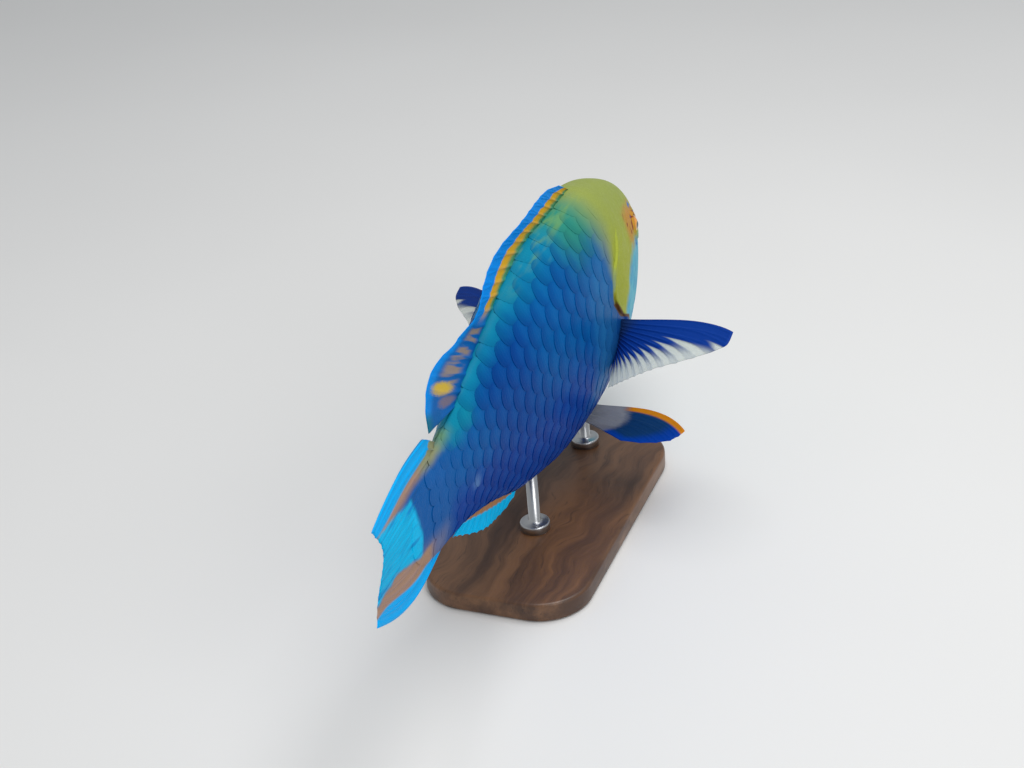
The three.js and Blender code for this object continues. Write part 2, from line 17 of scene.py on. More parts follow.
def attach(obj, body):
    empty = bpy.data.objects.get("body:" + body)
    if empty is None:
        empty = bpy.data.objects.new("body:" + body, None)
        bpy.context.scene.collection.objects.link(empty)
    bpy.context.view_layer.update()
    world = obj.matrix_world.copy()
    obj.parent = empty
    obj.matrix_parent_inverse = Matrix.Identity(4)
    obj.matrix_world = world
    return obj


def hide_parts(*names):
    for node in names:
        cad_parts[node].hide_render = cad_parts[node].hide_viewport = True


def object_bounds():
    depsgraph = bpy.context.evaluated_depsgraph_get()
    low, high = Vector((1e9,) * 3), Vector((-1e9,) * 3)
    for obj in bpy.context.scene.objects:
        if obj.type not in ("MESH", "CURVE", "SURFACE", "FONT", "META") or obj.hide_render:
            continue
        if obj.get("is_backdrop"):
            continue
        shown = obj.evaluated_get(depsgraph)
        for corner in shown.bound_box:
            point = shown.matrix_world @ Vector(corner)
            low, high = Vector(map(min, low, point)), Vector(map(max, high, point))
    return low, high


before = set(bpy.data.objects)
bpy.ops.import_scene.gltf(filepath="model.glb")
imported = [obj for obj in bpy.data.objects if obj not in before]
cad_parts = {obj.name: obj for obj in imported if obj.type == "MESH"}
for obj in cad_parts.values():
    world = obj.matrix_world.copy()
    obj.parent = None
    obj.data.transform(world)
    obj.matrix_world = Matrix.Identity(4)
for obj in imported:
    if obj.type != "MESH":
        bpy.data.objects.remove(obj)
cad_box = [list(corner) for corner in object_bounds()]
print("model box in metres:", cad_box)

# %% [markdown]
# Lengths are in millimetres, as a maker measures a fish, and become Blender's metres only where
# a point enters a mesh. The sizes of the body repeat those of the model's source. Only the skin's
# end differs: it runs on as a thin tongue over the root of the tail fin, so that no edge shows
# between the two. The front of the dorsal fin is up to 2.5 mm lower than the source has it.

# %% Sizes of the fish
MM = 0.001
AXIS_HEIGHT = 116
BODY_LENGTH = 380
BEND_CENTRE = 180
# distance from the snout, back above the axis, belly below it, half the width
BODY_STATIONS = [
    [0, 0, 3, 0],
    [6, 22, 19, 15],
    [20, 39, 32, 22],
    [40, 51, 41, 27],
    [76, 64, 55, 31.5],
    [126, 75, 65, 33.5],
    [180, 76, 68, 31],
    [232, 65, 59, 24.5],
    [280, 48, 41.5, 17],
    [320, 34, 31, 11],
    [346, 30, 28, 6.8],
    [380, 27, 25, 2.8],
]
SKIN_END = 398
SKIN_END_ROUND = 32
POLE_HEIGHT = -1.5
HEAD_SQUARE, TAIL_SQUARE = 2.5, 2.05
SQUARE_FROM, SQUARE_TO = 30, 230
BACK_PINCH = 0.09
SPINE_TURNS = [[0, 0], [54, 0], [126, -0.001772], [225, 0.000759], [338, 0.000946], [460, 0.000946]]
SPINE_STEP = 2.5
SPINE_END = 470
LIFT_START = 225
LIFT_RATE = 0.00043

# %% [markdown]
# The photographer's view comes first, so that every look at the model is through the same lens.
# The camera stands behind the fish, to its right and above it, and leans a little, as the
# photograph does. Its place is worked out from an angle round the fish, a height angle and a
# distance, which say more to a reader than three coordinates.

# %% The camera
VIEW_ROUND = math.radians(23.39)
VIEW_HEIGHT = math.radians(28.80)
VIEW_LEAN = math.radians(-4.99)
VIEW_DISTANCE = 1042.6 * MM
VIEW_AIM_ASIDE = -15.3 * MM
VIEW_AIM_UP = -17.5 * MM
LENS = 63.3
SENSOR = 36


def make_camera():
    back = Vector((
        -math.cos(VIEW_HEIGHT) * math.cos(VIEW_ROUND),
        -math.cos(VIEW_HEIGHT) * math.sin(VIEW_ROUND),
        math.sin(VIEW_HEIGHT),
    ))
    level = (-back).cross(Vector((0, 0, 1))).normalized()
    above = level.cross(-back)
    right = math.cos(VIEW_LEAN) * level + math.sin(VIEW_LEAN) * above
    up = -math.sin(VIEW_LEAN) * level + math.cos(VIEW_LEAN) * above
    camera = bpy.data.objects.new("camera", bpy.data.cameras.new("camera"))
    camera.data.lens = LENS
    camera.data.sensor_width = SENSOR
    turned = Matrix((right, up, back)).transposed().to_4x4()
    middle = Vector((0, 0, AXIS_HEIGHT * MM))
    place = middle + VIEW_AIM_ASIDE * right + VIEW_AIM_UP * up + VIEW_DISTANCE * back
    camera.matrix_world = Matrix.Translation(place) @ turned
    bpy.context.scene.collection.objects.link(camera)
    bpy.context.scene.camera = camera
    return camera


camera = make_camera()
print("camera height in metres:", round(camera.matrix_world.translation.z, 3))

# %% [markdown]
# The body is a loft: back, belly and width are smooth curves through a dozen stations, like the
# frames of a boat. The curve used here never swings past its stations, so the profile has no
# humps that nobody drew. The distance is read by its square root, which rounds the snout.

# %% Curves through the stations
def smooth_through(places, values):
    xs = np.array(places, float)
    ys = np.array(values, float)
    slopes = np.diff(ys) / np.diff(xs)
    before = np.concatenate([slopes[:1], slopes])
    after = np.concatenate([slopes, slopes[-1:]])
    same_way = before * after > 0
    both = np.where(same_way, before + after, 1)
    tangents = np.where(same_way, 2 * before * after / both, 0)

    def curve(x):
        x = np.asarray(x, float)
        i = np.clip(np.searchsorted(xs, x) - 1, 0, len(xs) - 2)
        step = xs[i + 1] - xs[i]
        t = np.clip((x - xs[i]) / step, 0, 1)
        rise = ys[i + 1] - ys[i]
        a = step * tangents[i] - rise
        b = rise - step * tangents[i + 1]
        return ys[i] + t * rise + t * (1 - t) * ((1 - t) * a + t * b)

    return curve


stations = np.array(BODY_STATIONS, float)
station_roots = np.sqrt(stations[:, 0])
back_curve = smooth_through(station_roots, stations[:, 1])
belly_curve = smooth_through(station_roots, stations[:, 2])
width_curve = smooth_through(station_roots, stations[:, 3])


def back_at(x):
    return back_curve(np.sqrt(np.maximum(x, 0)))


def belly_at(x):
    return -belly_curve(np.sqrt(np.maximum(x, 0)))


def width_at(x):
    return width_curve(np.sqrt(np.maximum(x, 0)))


def ease(value, low, high):
    t = np.clip((np.asarray(value, float) - low) / (high - low), 0, 1)
    return t * t * (3 - 2 * t)


def mix(a, b, share):
    return a + (b - a) * share


def hump(value, middle, width):
    return np.exp(-(((value - middle) / width) ** 2))


DEEPEST_AT = 150
print("deepest body in mm:", float(back_at(DEEPEST_AT) - belly_at(DEEPEST_AT)))

# %% [markdown]
# The spine is walked back from the snout in small steps, turning a little at each. Bending a
# point means carrying it along with its place on the spine, so widths and heights are kept.

# %% The bend of the spine
turn_at = smooth_through(*np.array(SPINE_TURNS, float).T)
spine_x = np.arange(0, SPINE_END + SPINE_STEP / 2, SPINE_STEP)
spine_heading = np.concatenate([[0], np.cumsum(turn_at(spine_x[:-1] + SPINE_STEP / 2) * SPINE_STEP)])
spine_ahead = -np.concatenate([[0], np.cumsum(np.cos(spine_heading[1:]) * SPINE_STEP)])
spine_aside = -np.concatenate([[0], np.cumsum(np.sin(spine_heading[1:]) * SPINE_STEP)])
middle_heading = np.interp(BEND_CENTRE, spine_x, spine_heading)
middle_ahead = np.interp(BEND_CENTRE, spine_x, spine_ahead)
middle_aside = np.interp(BEND_CENTRE, spine_x, spine_aside)


def bent(x, y, z):
    """Points of the straight fish in millimetres, put where the bent fish has them, in metres."""
    x, y, z = np.broadcast_arrays(*[np.asarray(v, float) for v in (x, y, z)])
    heading = np.interp(x, spine_x, spine_heading)
    ahead = np.interp(x, spine_x, spine_ahead) - np.minimum(x, 0) - middle_ahead
    aside = np.interp(x, spine_x, spine_aside) - middle_aside
    ahead = ahead - y * np.sin(heading)
    aside = aside + y * np.cos(heading)
    c, s = math.cos(-middle_heading), math.sin(-middle_heading)
    lift = LIFT_RATE * np.maximum(x - LIFT_START, 0) ** 2
    return MM * np.stack([ahead * c - aside * s, ahead * s + aside * c, z + lift + AXIS_HEIGHT], -1)


def directions(x):
    """Forward, left and up on the bent fish, at a distance from the snout."""
    angle = float(np.interp(x, spine_x, spine_heading) - middle_heading)
    forward = Vector((math.cos(angle), math.sin(angle), 0))
    left = Vector((-math.sin(angle), math.cos(angle), 0))
    return forward, left, Vector((0, 0, 1))


print("snout tip in metres:", bent(0, 0, POLE_HEIGHT).round(4))

# %% [markdown]
# A section of the body is a rounded box on the head and an oval behind. A place on it is named
# by an angle: 0 on the left side, 90 on the back, 180 on the right side and 270 on the belly.

# %% Sections of the body
def signed_power(value, power):
    return np.sign(value) * np.abs(value) ** power


def square_at(x):
    return mix(HEAD_SQUARE, TAIL_SQUARE, ease(x, SQUARE_FROM, SQUARE_TO))


def section_point(x, angle):
    """Side and height of the skin of the straight fish, at an angle in radians."""
    high, low = back_at(x), belly_at(x)
    to_end = np.clip((x - SKIN_END) / SKIN_END_ROUND + 1, 0, 1)
    closing = np.sqrt(1 - to_end**2)
    power = 2 / square_at(x)
    rise = signed_power(np.sin(angle), power)
    reach = signed_power(np.cos(angle), power)
    y = width_at(x) * closing * reach * (1 - BACK_PINCH * rise**2)
    return y, (high + low) / 2 + (high - low) / 2 * closing * rise


def side_width(x, z):
    """How far out to the side the skin lies, at a place seen from the side."""
    middle = (back_at(x) + belly_at(x)) / 2
    half = np.maximum((back_at(x) - belly_at(x)) / 2, 1e-6)
    rise = np.clip(np.abs(z - middle) / half, 0, 1)
    square = square_at(x)
    return width_at(x) * (1 - rise**square) ** (1 / square) * (1 - BACK_PINCH * rise**2)


def rise_of(x, z):
    """The angle of a place above the side line, in degrees, the same on both sides."""
    middle = (back_at(x) + belly_at(x)) / 2
    half = np.maximum((back_at(x) - belly_at(x)) / 2, 1e-6)
    share = np.clip((z - middle) / half, -1, 1)
    return np.degrees(np.arcsin(signed_power(share, square_at(x) / 2)))


print("half width at the eye in mm:", round(float(side_width(48, 23.5)), 2))

# %% [markdown]
# Meshes are shaped in bulk: a bmesh operator makes the mesh, its points are read as one array,
# moved by a formula, and written back. The helpers below do the reading, the writing and the
# last steps that every piece needs.

# %% Mesh helpers
def points_of(mesh):
    flat = np.empty(len(mesh.vertices) * 3)
    mesh.vertices.foreach_get("co", flat)
    return flat.reshape(-1, 3)


def set_points(mesh, points):
    mesh.vertices.foreach_set("co", np.ascontiguousarray(points, float).ravel())
    mesh.update()


def mesh_from(bm, name):
    mesh = bpy.data.meshes.new(name)
    bm.to_mesh(mesh)
    bm.free()
    return mesh


def store(mesh, name, values):
    """Writes three numbers for each point of a mesh as a named attribute."""
    layer = mesh.attributes.new(name, "FLOAT_VECTOR", "POINT")
    layer.data.foreach_set("vector", np.ascontiguousarray(values, float).ravel())


def turn_outwards(mesh):
    bm = bmesh.new()
    bm.from_mesh(mesh)
    bmesh.ops.recalc_face_normals(bm, faces=bm.faces[:])
    bm.to_mesh(mesh)
    bm.free()


def add_piece(mesh, name, material, slot, *nodes):
    """Puts a finished mesh in the scene, on the body, in place of the nodes it stands for."""
    mesh.shade_smooth()
    mesh.materials.append(material)
    piece = bpy.data.objects.new(name, mesh)
    bpy.context.scene.collection.objects.link(piece)
    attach(piece, "root")
    if nodes:
        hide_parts(*nodes)
    print(name, "has", sum(len(p.vertices) - 2 for p in mesh.polygons), "triangles")
    return piece


# %% [markdown]
# Materials are built from a few short helpers, so that a finish reads like a recipe: a value is
# eased between two limits, two colours are blended by it, and the result feeds a shader.

# %% Node helpers
def paint(red, green, blue):
    """A colour named by its screen values, 0 to 255, as the linear colour that a shader needs."""
    screen = [v / 255 for v in (red, green, blue)]
    return [v / 12.92 if v <= 0.04045 else ((v + 0.055) / 1.055) ** 2.4 for v in screen] + [1]


def node(tree, kind, **settings):
    made = tree.nodes.new(kind)
    for name, value in settings.items():
        setattr(made, name, value)
    return made


def feed(tree, socket, value):
    if isinstance(value, bpy.types.NodeSocket):
        tree.links.new(value, socket)
    else:
        socket.default_value = value


def maths(tree, operation, *values):
    made = node(tree, "ShaderNodeMath", operation=operation)
    for socket, value in zip(made.inputs, values):
        feed(tree, socket, value)
    return made.outputs[0]


def product(tree, *values):
    result = values[0]
    for value in values[1:]:
        result = maths(tree, "MULTIPLY", result, value)
    return result


def plus(tree, first, second):
    return maths(tree, "ADD", first, second)


def minus(tree, first, second):
    return maths(tree, "SUBTRACT", first, second)


def scaled(tree, value, factor, offset):
    return maths(tree, "MULTIPLY_ADD", value, factor, offset)


def eased(tree, value, low, high, start=0.0, end=1.0):
    made = node(tree, "ShaderNodeMapRange", interpolation_type="SMOOTHSTEP")
    for socket, number in zip(made.inputs, (value, low, high, start, end)):
        feed(tree, socket, number)
    return made.outputs["Result"]


def between(tree, value, low, high, soft):
    rising = eased(tree, value, low - soft, low + soft)
    falling = eased(tree, value, high - soft, high + soft, 1, 0)
    return product(tree, rising, falling)


def blended(tree, share, first, second, how="MIX"):
    made = node(tree, "ShaderNodeMix", data_type="RGBA", blend_type=how)
    for index, value in ((0, share), (6, first), (7, second)):
        feed(tree, made.inputs[index], value)
    return made.outputs[2]


def two_tone(tree, share, tones):
    return blended(tree, share, paint(*tones[0]), paint(*tones[1]))


def tinted(tree, share, colour, tint):
    """A colour covered by another, named by its screen values, as far as the share says."""
    return blended(tree, share, colour, paint(*tint))


def brightened(tree, colour, value):
    made = node(tree, "ShaderNodeHueSaturation")
    feed(tree, made.inputs["Color"], colour)
    feed(tree, made.inputs["Value"], value)
    return made.outputs[0]


def noise(tree, vector, scale, detail=3.0, roughness=0.5):
    made = node(tree, "ShaderNodeTexNoise")
    feed(tree, made.inputs["Vector"], vector)
    feed(tree, made.inputs["Scale"], scale)
    feed(tree, made.inputs["Detail"], detail)
    feed(tree, made.inputs["Roughness"], roughness)
    return made.outputs["Fac"]


def parts_of(tree, vector):
    made = node(tree, "ShaderNodeSeparateXYZ")
    feed(tree, made.inputs[0], vector)
    return made.outputs[0], made.outputs[1], made.outputs[2]


def vector_of(tree, x, y, z):
    made = node(tree, "ShaderNodeCombineXYZ")
    for socket, value in zip(made.inputs, (x, y, z)):
        feed(tree, socket, value)
    return made.outputs[0]


def stretched(tree, vector, scales):
    made = node(tree, "ShaderNodeVectorMath", operation="MULTIPLY")
    feed(tree, made.inputs[0], vector)
    made.inputs[1].default_value = scales
    return made.outputs[0]


def attribute(tree, name):
    return node(tree, "ShaderNodeAttribute", attribute_name=name).outputs["Vector"]


def object_place(tree):
    return node(tree, "ShaderNodeTexCoord").outputs["Object"]


def bumped(tree, height, distance, strength=1.0):
    made = node(tree, "ShaderNodeBump")
    feed(tree, made.inputs["Height"], height)
    feed(tree, made.inputs["Distance"], distance)
    feed(tree, made.inputs["Strength"], strength)
    return made.outputs["Normal"]


def new_group(name, inputs, outputs):
    tree = bpy.data.node_groups.new(name, "ShaderNodeTree")
    for label, kind in inputs:
        tree.interface.new_socket(name=label, in_out="INPUT", socket_type="NodeSocket" + kind)
    for label, kind in outputs:
        tree.interface.new_socket(name=label, in_out="OUTPUT", socket_type="NodeSocket" + kind)
    return tree, tree.nodes.new("NodeGroupInput").outputs, tree.nodes.new("NodeGroupOutput").inputs


def placed_group(tree, group, **values):
    made = node(tree, "ShaderNodeGroup", node_tree=group)
    for name, value in values.items():
        feed(tree, made.inputs[name], value)
    return made.outputs


def new_material(name, roughness, coat=0.0, coat_roughness=0.2, shine=0.5):
    material = bpy.data.materials.new(name)
    material.use_nodes = True
    shader = material.node_tree.nodes["Principled BSDF"]
    shader.inputs["Roughness"].default_value = roughness
    shader.inputs["Coat Weight"].default_value = coat
    shader.inputs["Coat Roughness"].default_value = coat_roughness
    shader.inputs["Specular IOR Level"].default_value = shine
    return material, material.node_tree, shader.inputs


# %% [markdown]
# The skin is one closed surface from the snout to the tail, a ball whose rows of faces are laid
# along the fish. Its rows follow the rear edge of the gill cover and crowd together there, so
# that the cover can end in a crisp lip. Round the eyes, the mouth and the nostrils the faces are
# divided once more, because lids and lips are only a millimetre or two across.

# %% Where the head's features lie
# height above the axis, distance from the snout
GILL_EDGE = [
    [-90, 80],
    [-62, 85],
    [-44, 95],
    [-22, 105],
    [-6, 116],
    [5, 129],
    [18, 136],
    [29, 131],
    [38, 117],
    [50, 104],
    [66, 100],
    [90, 100],
]
gill_edge_at = smooth_through(*np.array(GILL_EDGE, float).T)
EYE_X, EYE_Z = 48, 23.5
EYE_RADIUS = 8
EYE_STAND = 2
MOUTH_HEIGHT = -6
MOUTH_HALF_WIDTH = 11
MOUTH_HALF_HEIGHT = 8
NOSTRILS = [[32, 25.5, 1.5], [36, 27.5, 1.8]]
SKIN_AROUND = 240
SKIN_ALONG = 320
ROUNDS_TO_SETTLE = 12
AT_POLE = 1e-6
FINE_EYE = 13
FINE_MOUTH = 15

# share of the rows, and how far that is from the snout to the gill edge, and on to the tail
head_rows = smooth_through([0, 0.15, 0.35, 0.9, 1], [0, 0.018, 0.14, 0.95, 1])
body_rows = smooth_through([0, 0.12, 0.9, 1], [0, 0.024, 0.9, 1])


def straight_skin():
    """The ball, laid along the straight fish. Points are in millimetres."""
    bm = bmesh.new()
    bmesh.ops.create_uvsphere(bm, u_segments=SKIN_AROUND, v_segments=SKIN_ALONG, radius=1)
    mesh = mesh_from(bm, "skin")
    ball = points_of(mesh)
    share = np.arccos(np.clip(ball[:, 2], -1, 1)) / math.pi
    angle = np.arctan2(ball[:, 1], ball[:, 0])
    x = SKIN_END * share
    for _ in range(ROUNDS_TO_SETTLE):
        edge = gill_edge_at(section_point(x, angle)[1])
        ahead = edge * head_rows(2 * share)
        behind = edge + (SKIN_END - edge) * body_rows(2 * share - 1)
        x = np.where(share < 0.5, ahead, behind)
    y, z = section_point(x, angle)
    z = np.where((share < AT_POLE) | (share > 1 - AT_POLE), POLE_HEIGHT, z)
    set_points(mesh, np.stack([x, y, z], -1))
    return mesh


def refine(mesh):
    """Divides the faces round the eyes and the mouth."""
    bm = bmesh.new()
    bm.from_mesh(mesh)

    def wanted(co):
        at_eye = math.hypot(co.x - EYE_X, co.z - EYE_Z) < FINE_EYE and abs(co.y) > FINE_EYE
        at_nose = math.hypot(co.x - NOSTRILS[0][0], co.z - NOSTRILS[0][1]) < FINE_EYE / 2
        at_mouth = co.x < FINE_MOUTH and math.hypot(co.y, co.z - MOUTH_HEIGHT) < FINE_MOUTH
        return at_eye or at_mouth or (at_nose and abs(co.y) > FINE_EYE)

    fine = {v for v in bm.verts if wanted(v.co)}
    edges = [e for e in bm.edges if e.verts[0] in fine and e.verts[1] in fine]
    bmesh.ops.subdivide_edges(bm, edges=edges, cuts=1, use_grid_fill=True)
    bmesh.ops.triangulate(bm, faces=[f for f in bm.faces if len(f.verts) > 4])
    bm.to_mesh(mesh)
    bm.free()


skin_mesh = straight_skin()
refine(skin_mesh)
print("skin points:", len(skin_mesh.vertices))

# %% [markdown]
# The folds of the head are raised and sunk along the skin's own direction outwards: the rolled
# rim round each eye, the lips, the nostrils, the crease of the cheek and the gill cover, which
# stands a little proud and drops into the slit behind it. Behind the gill cover the whole skin
# is sunk by the depth of the scales that will lie on it.

# %% Folds of the head
# a fade is given by the places where it begins and ends, a fold by its height, place and width
GILL_STEP, GILL_STEP_FADE = 0.8, (84, 112)
GILL_ROLL = (-0.9, 0.25)
GILL_OPEN_BELOW, GILL_OPEN_ABOVE = (-66, -54), (36, 50)
GILL_SLIT = [-1.1, 0.75, 0.6]
GILL_RIDGE = [0.3, -2.6, 1.6]
NAPE_FADE = (92, 132)
CHEEK_CREASE = [-0.35, -34, 2.4]
CHEEK_BELOW, CHEEK_ABOVE = (-40, -26), (8, 22)
SCALE_BED = 0.7
TONGUE_RAISED, TONGUE_FADE = 0.75, (SKIN_END - 42, SKIN_END - 18)
SOCKET_DEPTH, SOCKET_WALL = 5.0, (4.6, 6.9)
EYE_FOLDS = [[1.25, 7.9, 1.15], [-0.45, 10.2, 0.9], [0.22, 12.2, 1.3]]
# round the mouth, distances are shares of its half height and half width
LIP_HEIGHT, LIP_WIDTH, LIP_CORNER = 3.0, 0.2, 0.75
HOLLOW_DEPTH, HOLLOW_WALL = 6.0, (0.58, 0.9)
MOUTH_FOLDS = [[-0.5, 1.46, 0.14], [0.35, 1.78, 0.18]]
MOUTH_FADE = (10, 18)
NOSTRIL_DEPTH, NOSTRIL_WALL, NOSTRIL_RIM = 1.8, (0.35, 1.0), [0.3, 1.35, 0.3]


def fold(off, height, middle, width):
    return height * hump(off, middle, width)


def gill_open(z):
    """One where the gill cover has a free edge, none on the nape and the throat."""
    return ease(z, *GILL_OPEN_BELOW) * (1 - ease(z, *GILL_OPEN_ABOVE))


def gill_relief(x, z):
    behind = x - gill_edge_at(z)
    opened = gill_open(z)
    step = GILL_STEP * ease(x, *GILL_STEP_FADE)
    rolled = 1 - ease(behind, *GILL_ROLL)
    nape = 1 - ease(x, *NAPE_FADE)
    covered = opened * rolled + (1 - opened) * nape
    cheek = fold(behind, *CHEEK_CREASE) * ease(z, *CHEEK_BELOW) * (1 - ease(z, *CHEEK_ABOVE))
    edge = opened * (fold(behind, *GILL_SLIT) + fold(behind, *GILL_RIDGE))
    return covered * (step + SCALE_BED) - SCALE_BED + edge + cheek


def eye_relief(x, z):
    off = np.hypot(x - EYE_X, z - EYE_Z)
    socket = SOCKET_DEPTH * (1 - ease(off, *SOCKET_WALL))
    return sum(fold(off, *ring) for ring in EYE_FOLDS) - socket


def mouth_relief(x, y, z):
    """Lips rolled round the beak, with the hollow between them that the beak stands in."""
    aside, above = y / MOUTH_HALF_WIDTH, (z - MOUTH_HEIGHT) / MOUTH_HALF_HEIGHT
    off = np.hypot(aside, above)
    thick = mix(LIP_CORNER, 1, np.abs(np.sin(np.arctan2(above, aside))))
    lips = fold(off, LIP_HEIGHT * thick, 1, LIP_WIDTH)
    hollow = HOLLOW_DEPTH * (1 - ease(off, *HOLLOW_WALL))
    rings = sum(fold(off, *ring) for ring in MOUTH_FOLDS)
    return (1 - ease(x, *MOUTH_FADE)) * (lips - hollow + rings)


def nostril_relief(x, z):
    pits = 0
    for at_x, at_z, radius in NOSTRILS:
        off = np.hypot(x - at_x, z - at_z) / radius
        pits = pits - NOSTRIL_DEPTH * (1 - ease(off, *NOSTRIL_WALL)) + fold(off, *NOSTRIL_RIM)
    return pits


def shape_skin(mesh):
    points = points_of(mesh)
    normals = np.empty(len(mesh.vertices) * 3)
    mesh.vertices.foreach_get("normal", normals)
    # the straight fish is laid snout to tail, which turns the ball inside out until it is bent
    normals = -normals.reshape(-1, 3)
    x, y, z = points.T
    relief = gill_relief(x, z) + eye_relief(x, z) + mouth_relief(x, y, z) + nostril_relief(x, z)
    relief = relief + TONGUE_RAISED * SCALE_BED * ease(x, *TONGUE_FADE)
    moved = points + normals * relief[:, None]
    set_points(mesh, bent(*moved.T))
    return points


skin_points = shape_skin(skin_mesh)
print("relief of the head done")

# %% [markdown]
# The markings are measured on the straight fish, so each point remembers three things: where it
# lay there; its distance from the snout with its angle above the side line; and how far it lies
# inside the edge of the head's olive cap, above the cheek's line and from the middle of the eye.

# %% Lines that part the colours
# angle above the side line, and how far back the olive of the head reaches there
OLIVE_EDGE = [
    [-90, 88],
    [-40, 96],
    [-10, 108],
    [-2, 126],
    [8, 137],
    [15, 133],
    [30, 129],
    [45, 128],
    [60, 129],
    [90, 128],
]
# distance from the snout, and the angle where the olive meets the blue-green of the throat
CHEEK_LINE = [
    [0, -14],
    [12, -4],
    [30, 4],
    [50, 9],
    [70, 12],
    [95, 6],
    [110, -2],
    [136, -14],
]
olive_edge_at = smooth_through(*np.array(OLIVE_EDGE, float).T)
cheek_line_at = smooth_through(*np.array(CHEEK_LINE, float).T)


def place_of(x, y, z):
    """Distance from the snout, angle above the side line, and side of the fish."""
    return np.stack([x, rise_of(x, z), np.sign(y)], -1)


def lines_of(place, z):
    x, rise = place[:, 0], place[:, 1]
    return np.stack([
        olive_edge_at(rise) - x,
        rise - cheek_line_at(x),
        np.hypot(x - EYE_X, z - EYE_Z),
    ], -1)


def store_places(mesh, points):
    place = place_of(*points.T)
    store(mesh, "place", place)
    store(mesh, "lines", lines_of(place, points[:, 2]))
    store(mesh, "straight", points * MM)


store_places(skin_mesh, skin_points)
print("places stored for", len(skin_points), "points")

# %% [markdown]
# Colours are mixed in node groups that the bare skin, the scales and the tail fin share, so a
# patch of colour runs on from one to the next. The first group holds the tail's bands, which
# begin on the stalk: brown above and below, cyan between them, and a bright blue margin. A coarse
# noise shifts each limit a little, so that no edge is ruled.

# %% The tail's bands
# fades in millimetres on the straight fish: begin and end, and the heights there if it slopes
TAIL_FADE = (334, 352)
STALK_BLUE = (6, 88, 160)
STALK_MAUVE = (104, 114, 152)
MAUVE_BELOW, MAUVE_BEHIND = (-4, -18), (338, 362)
STALK_YELLOW = (146, 148, 110)
YELLOW_ABOVE, YELLOW_BEHIND, YELLOW_TO_BROWN = (23, 29), (334, 348), (362, 384)
BAND_BROWN = (168, 134, 112)
LOWER_BAND_BEHIND, LOWER_BAND_SOFT = (364, 376), 2
TAIL_CYAN = (0, 186, 236)
# the darker cyan is painted shade of the fin's faint folds
TAIL_FOLD_SHADE = (0, 140, 206)
CYAN_BEHIND, CYAN_SOFT = (382, 387), 1.5
CYAN_TOP, CYAN_BOTTOM = (385, 440, 22, 28.5), (384, 430, -13, -3.5)
CYAN_BOW_MIDDLE, CYAN_BOW = -3, 0.011
# faint folds are painted shade: noise pulled out along the fin darkens the cyan where it is high
FOLD_SHADE_STRETCH, FOLD_SHADE_FADE = (0.025, 0.3), (0.5, 0.7)
MARGIN_BLUE = (0, 172, 244)
UPPER_MARGIN, UPPER_MARGIN_FALL = (349, 361, 38, 31.8), (392, 440, 0, 2.3)
LOWER_MARGIN, LOWER_MARGIN_RISE = (345, 370, -29.5, -23.2), (385, 462, 0, 14)
MARGIN_SOFT = 0.8
# how fine the noise is that shifts the limits, and how far it shifts them
TAIL_NOISE, LOOSE_ALONG, LOOSE_UP = 55, 12, 4


def make_tail_group():
    tree, given, out = new_group(
        "tail_bands", [("Straight", "Vector")], [("Color", "Color"), ("Share", "Float")]
    )
    x, _, z = parts_of(tree, given["Straight"])
    x = product(tree, x, 1 / MM)
    z = product(tree, z, 1 / MM)
    uneven = minus(tree, noise(tree, given["Straight"], TAIL_NOISE), 0.5)
    loose_x = scaled(tree, uneven, LOOSE_ALONG, x)
    loose_z = scaled(tree, uneven, LOOSE_UP, z)
    low = product(tree, eased(tree, loose_z, *MAUVE_BELOW), eased(tree, loose_x, *MAUVE_BEHIND))
    colour = two_tone(tree, low, (STALK_BLUE, STALK_MAUVE))
    high = product(tree, eased(tree, loose_z, *YELLOW_ABOVE), eased(tree, loose_x, *YELLOW_BEHIND))
    band = two_tone(tree, eased(tree, x, *YELLOW_TO_BROWN), (STALK_YELLOW, BAND_BROWN))
    colour = blended(tree, high, colour, band)
    under = minus(tree, eased(tree, x, *CYAN_BOTTOM), loose_z)
    lower = eased(tree, under, -LOWER_BAND_SOFT, LOWER_BAND_SOFT)
    lower = product(tree, lower, eased(tree, loose_x, *LOWER_BAND_BEHIND))
    colour = tinted(tree, lower, colour, BAND_BROWN)
    # the cyan middle begins on a bowed line and lies between the two brown bands
    bowed = maths(tree, "POWER", minus(tree, z, CYAN_BOW_MIDDLE), 2)
    behind = scaled(tree, bowed, -CYAN_BOW, loose_x)
    over = minus(tree, loose_z, eased(tree, x, *CYAN_TOP))
    in_cyan = product(
        tree,
        eased(tree, behind, *CYAN_BEHIND),
        eased(tree, under, CYAN_SOFT, -CYAN_SOFT),
        eased(tree, over, CYAN_SOFT, -CYAN_SOFT),
    )
    # painted shade of faint folds: the cyan turns darker along the stretched noise
    fold_x, fold_z = product(tree, x, FOLD_SHADE_STRETCH[0]), product(tree, z, FOLD_SHADE_STRETCH[1])
    folds = eased(tree, noise(tree, vector_of(tree, fold_x, 0, fold_z), 1.0, 2.0), *FOLD_SHADE_FADE)
    cyan = two_tone(tree, folds, (TAIL_CYAN, TAIL_FOLD_SHADE))
    colour = blended(tree, in_cyan, colour, cyan)
    # the bright margins
    above = minus(tree, eased(tree, x, *UPPER_MARGIN), eased(tree, x, *UPPER_MARGIN_FALL))
    below = plus(tree, eased(tree, x, *LOWER_MARGIN), eased(tree, x, *LOWER_MARGIN_RISE))
    upper_margin = eased(tree, minus(tree, z, above), -MARGIN_SOFT, MARGIN_SOFT)
    lower_margin = eased(tree, minus(tree, below, z), -MARGIN_SOFT, MARGIN_SOFT)
    in_margin = maths(tree, "MAXIMUM", upper_margin, lower_margin)
    colour = tinted(tree, in_margin, colour, MARGIN_BLUE)
    feed(tree, out["Color"], colour)
    feed(tree, out["Share"], eased(tree, loose_x, *TAIL_FADE))
    return tree


tail_group = make_tail_group()
print("tail bands made")

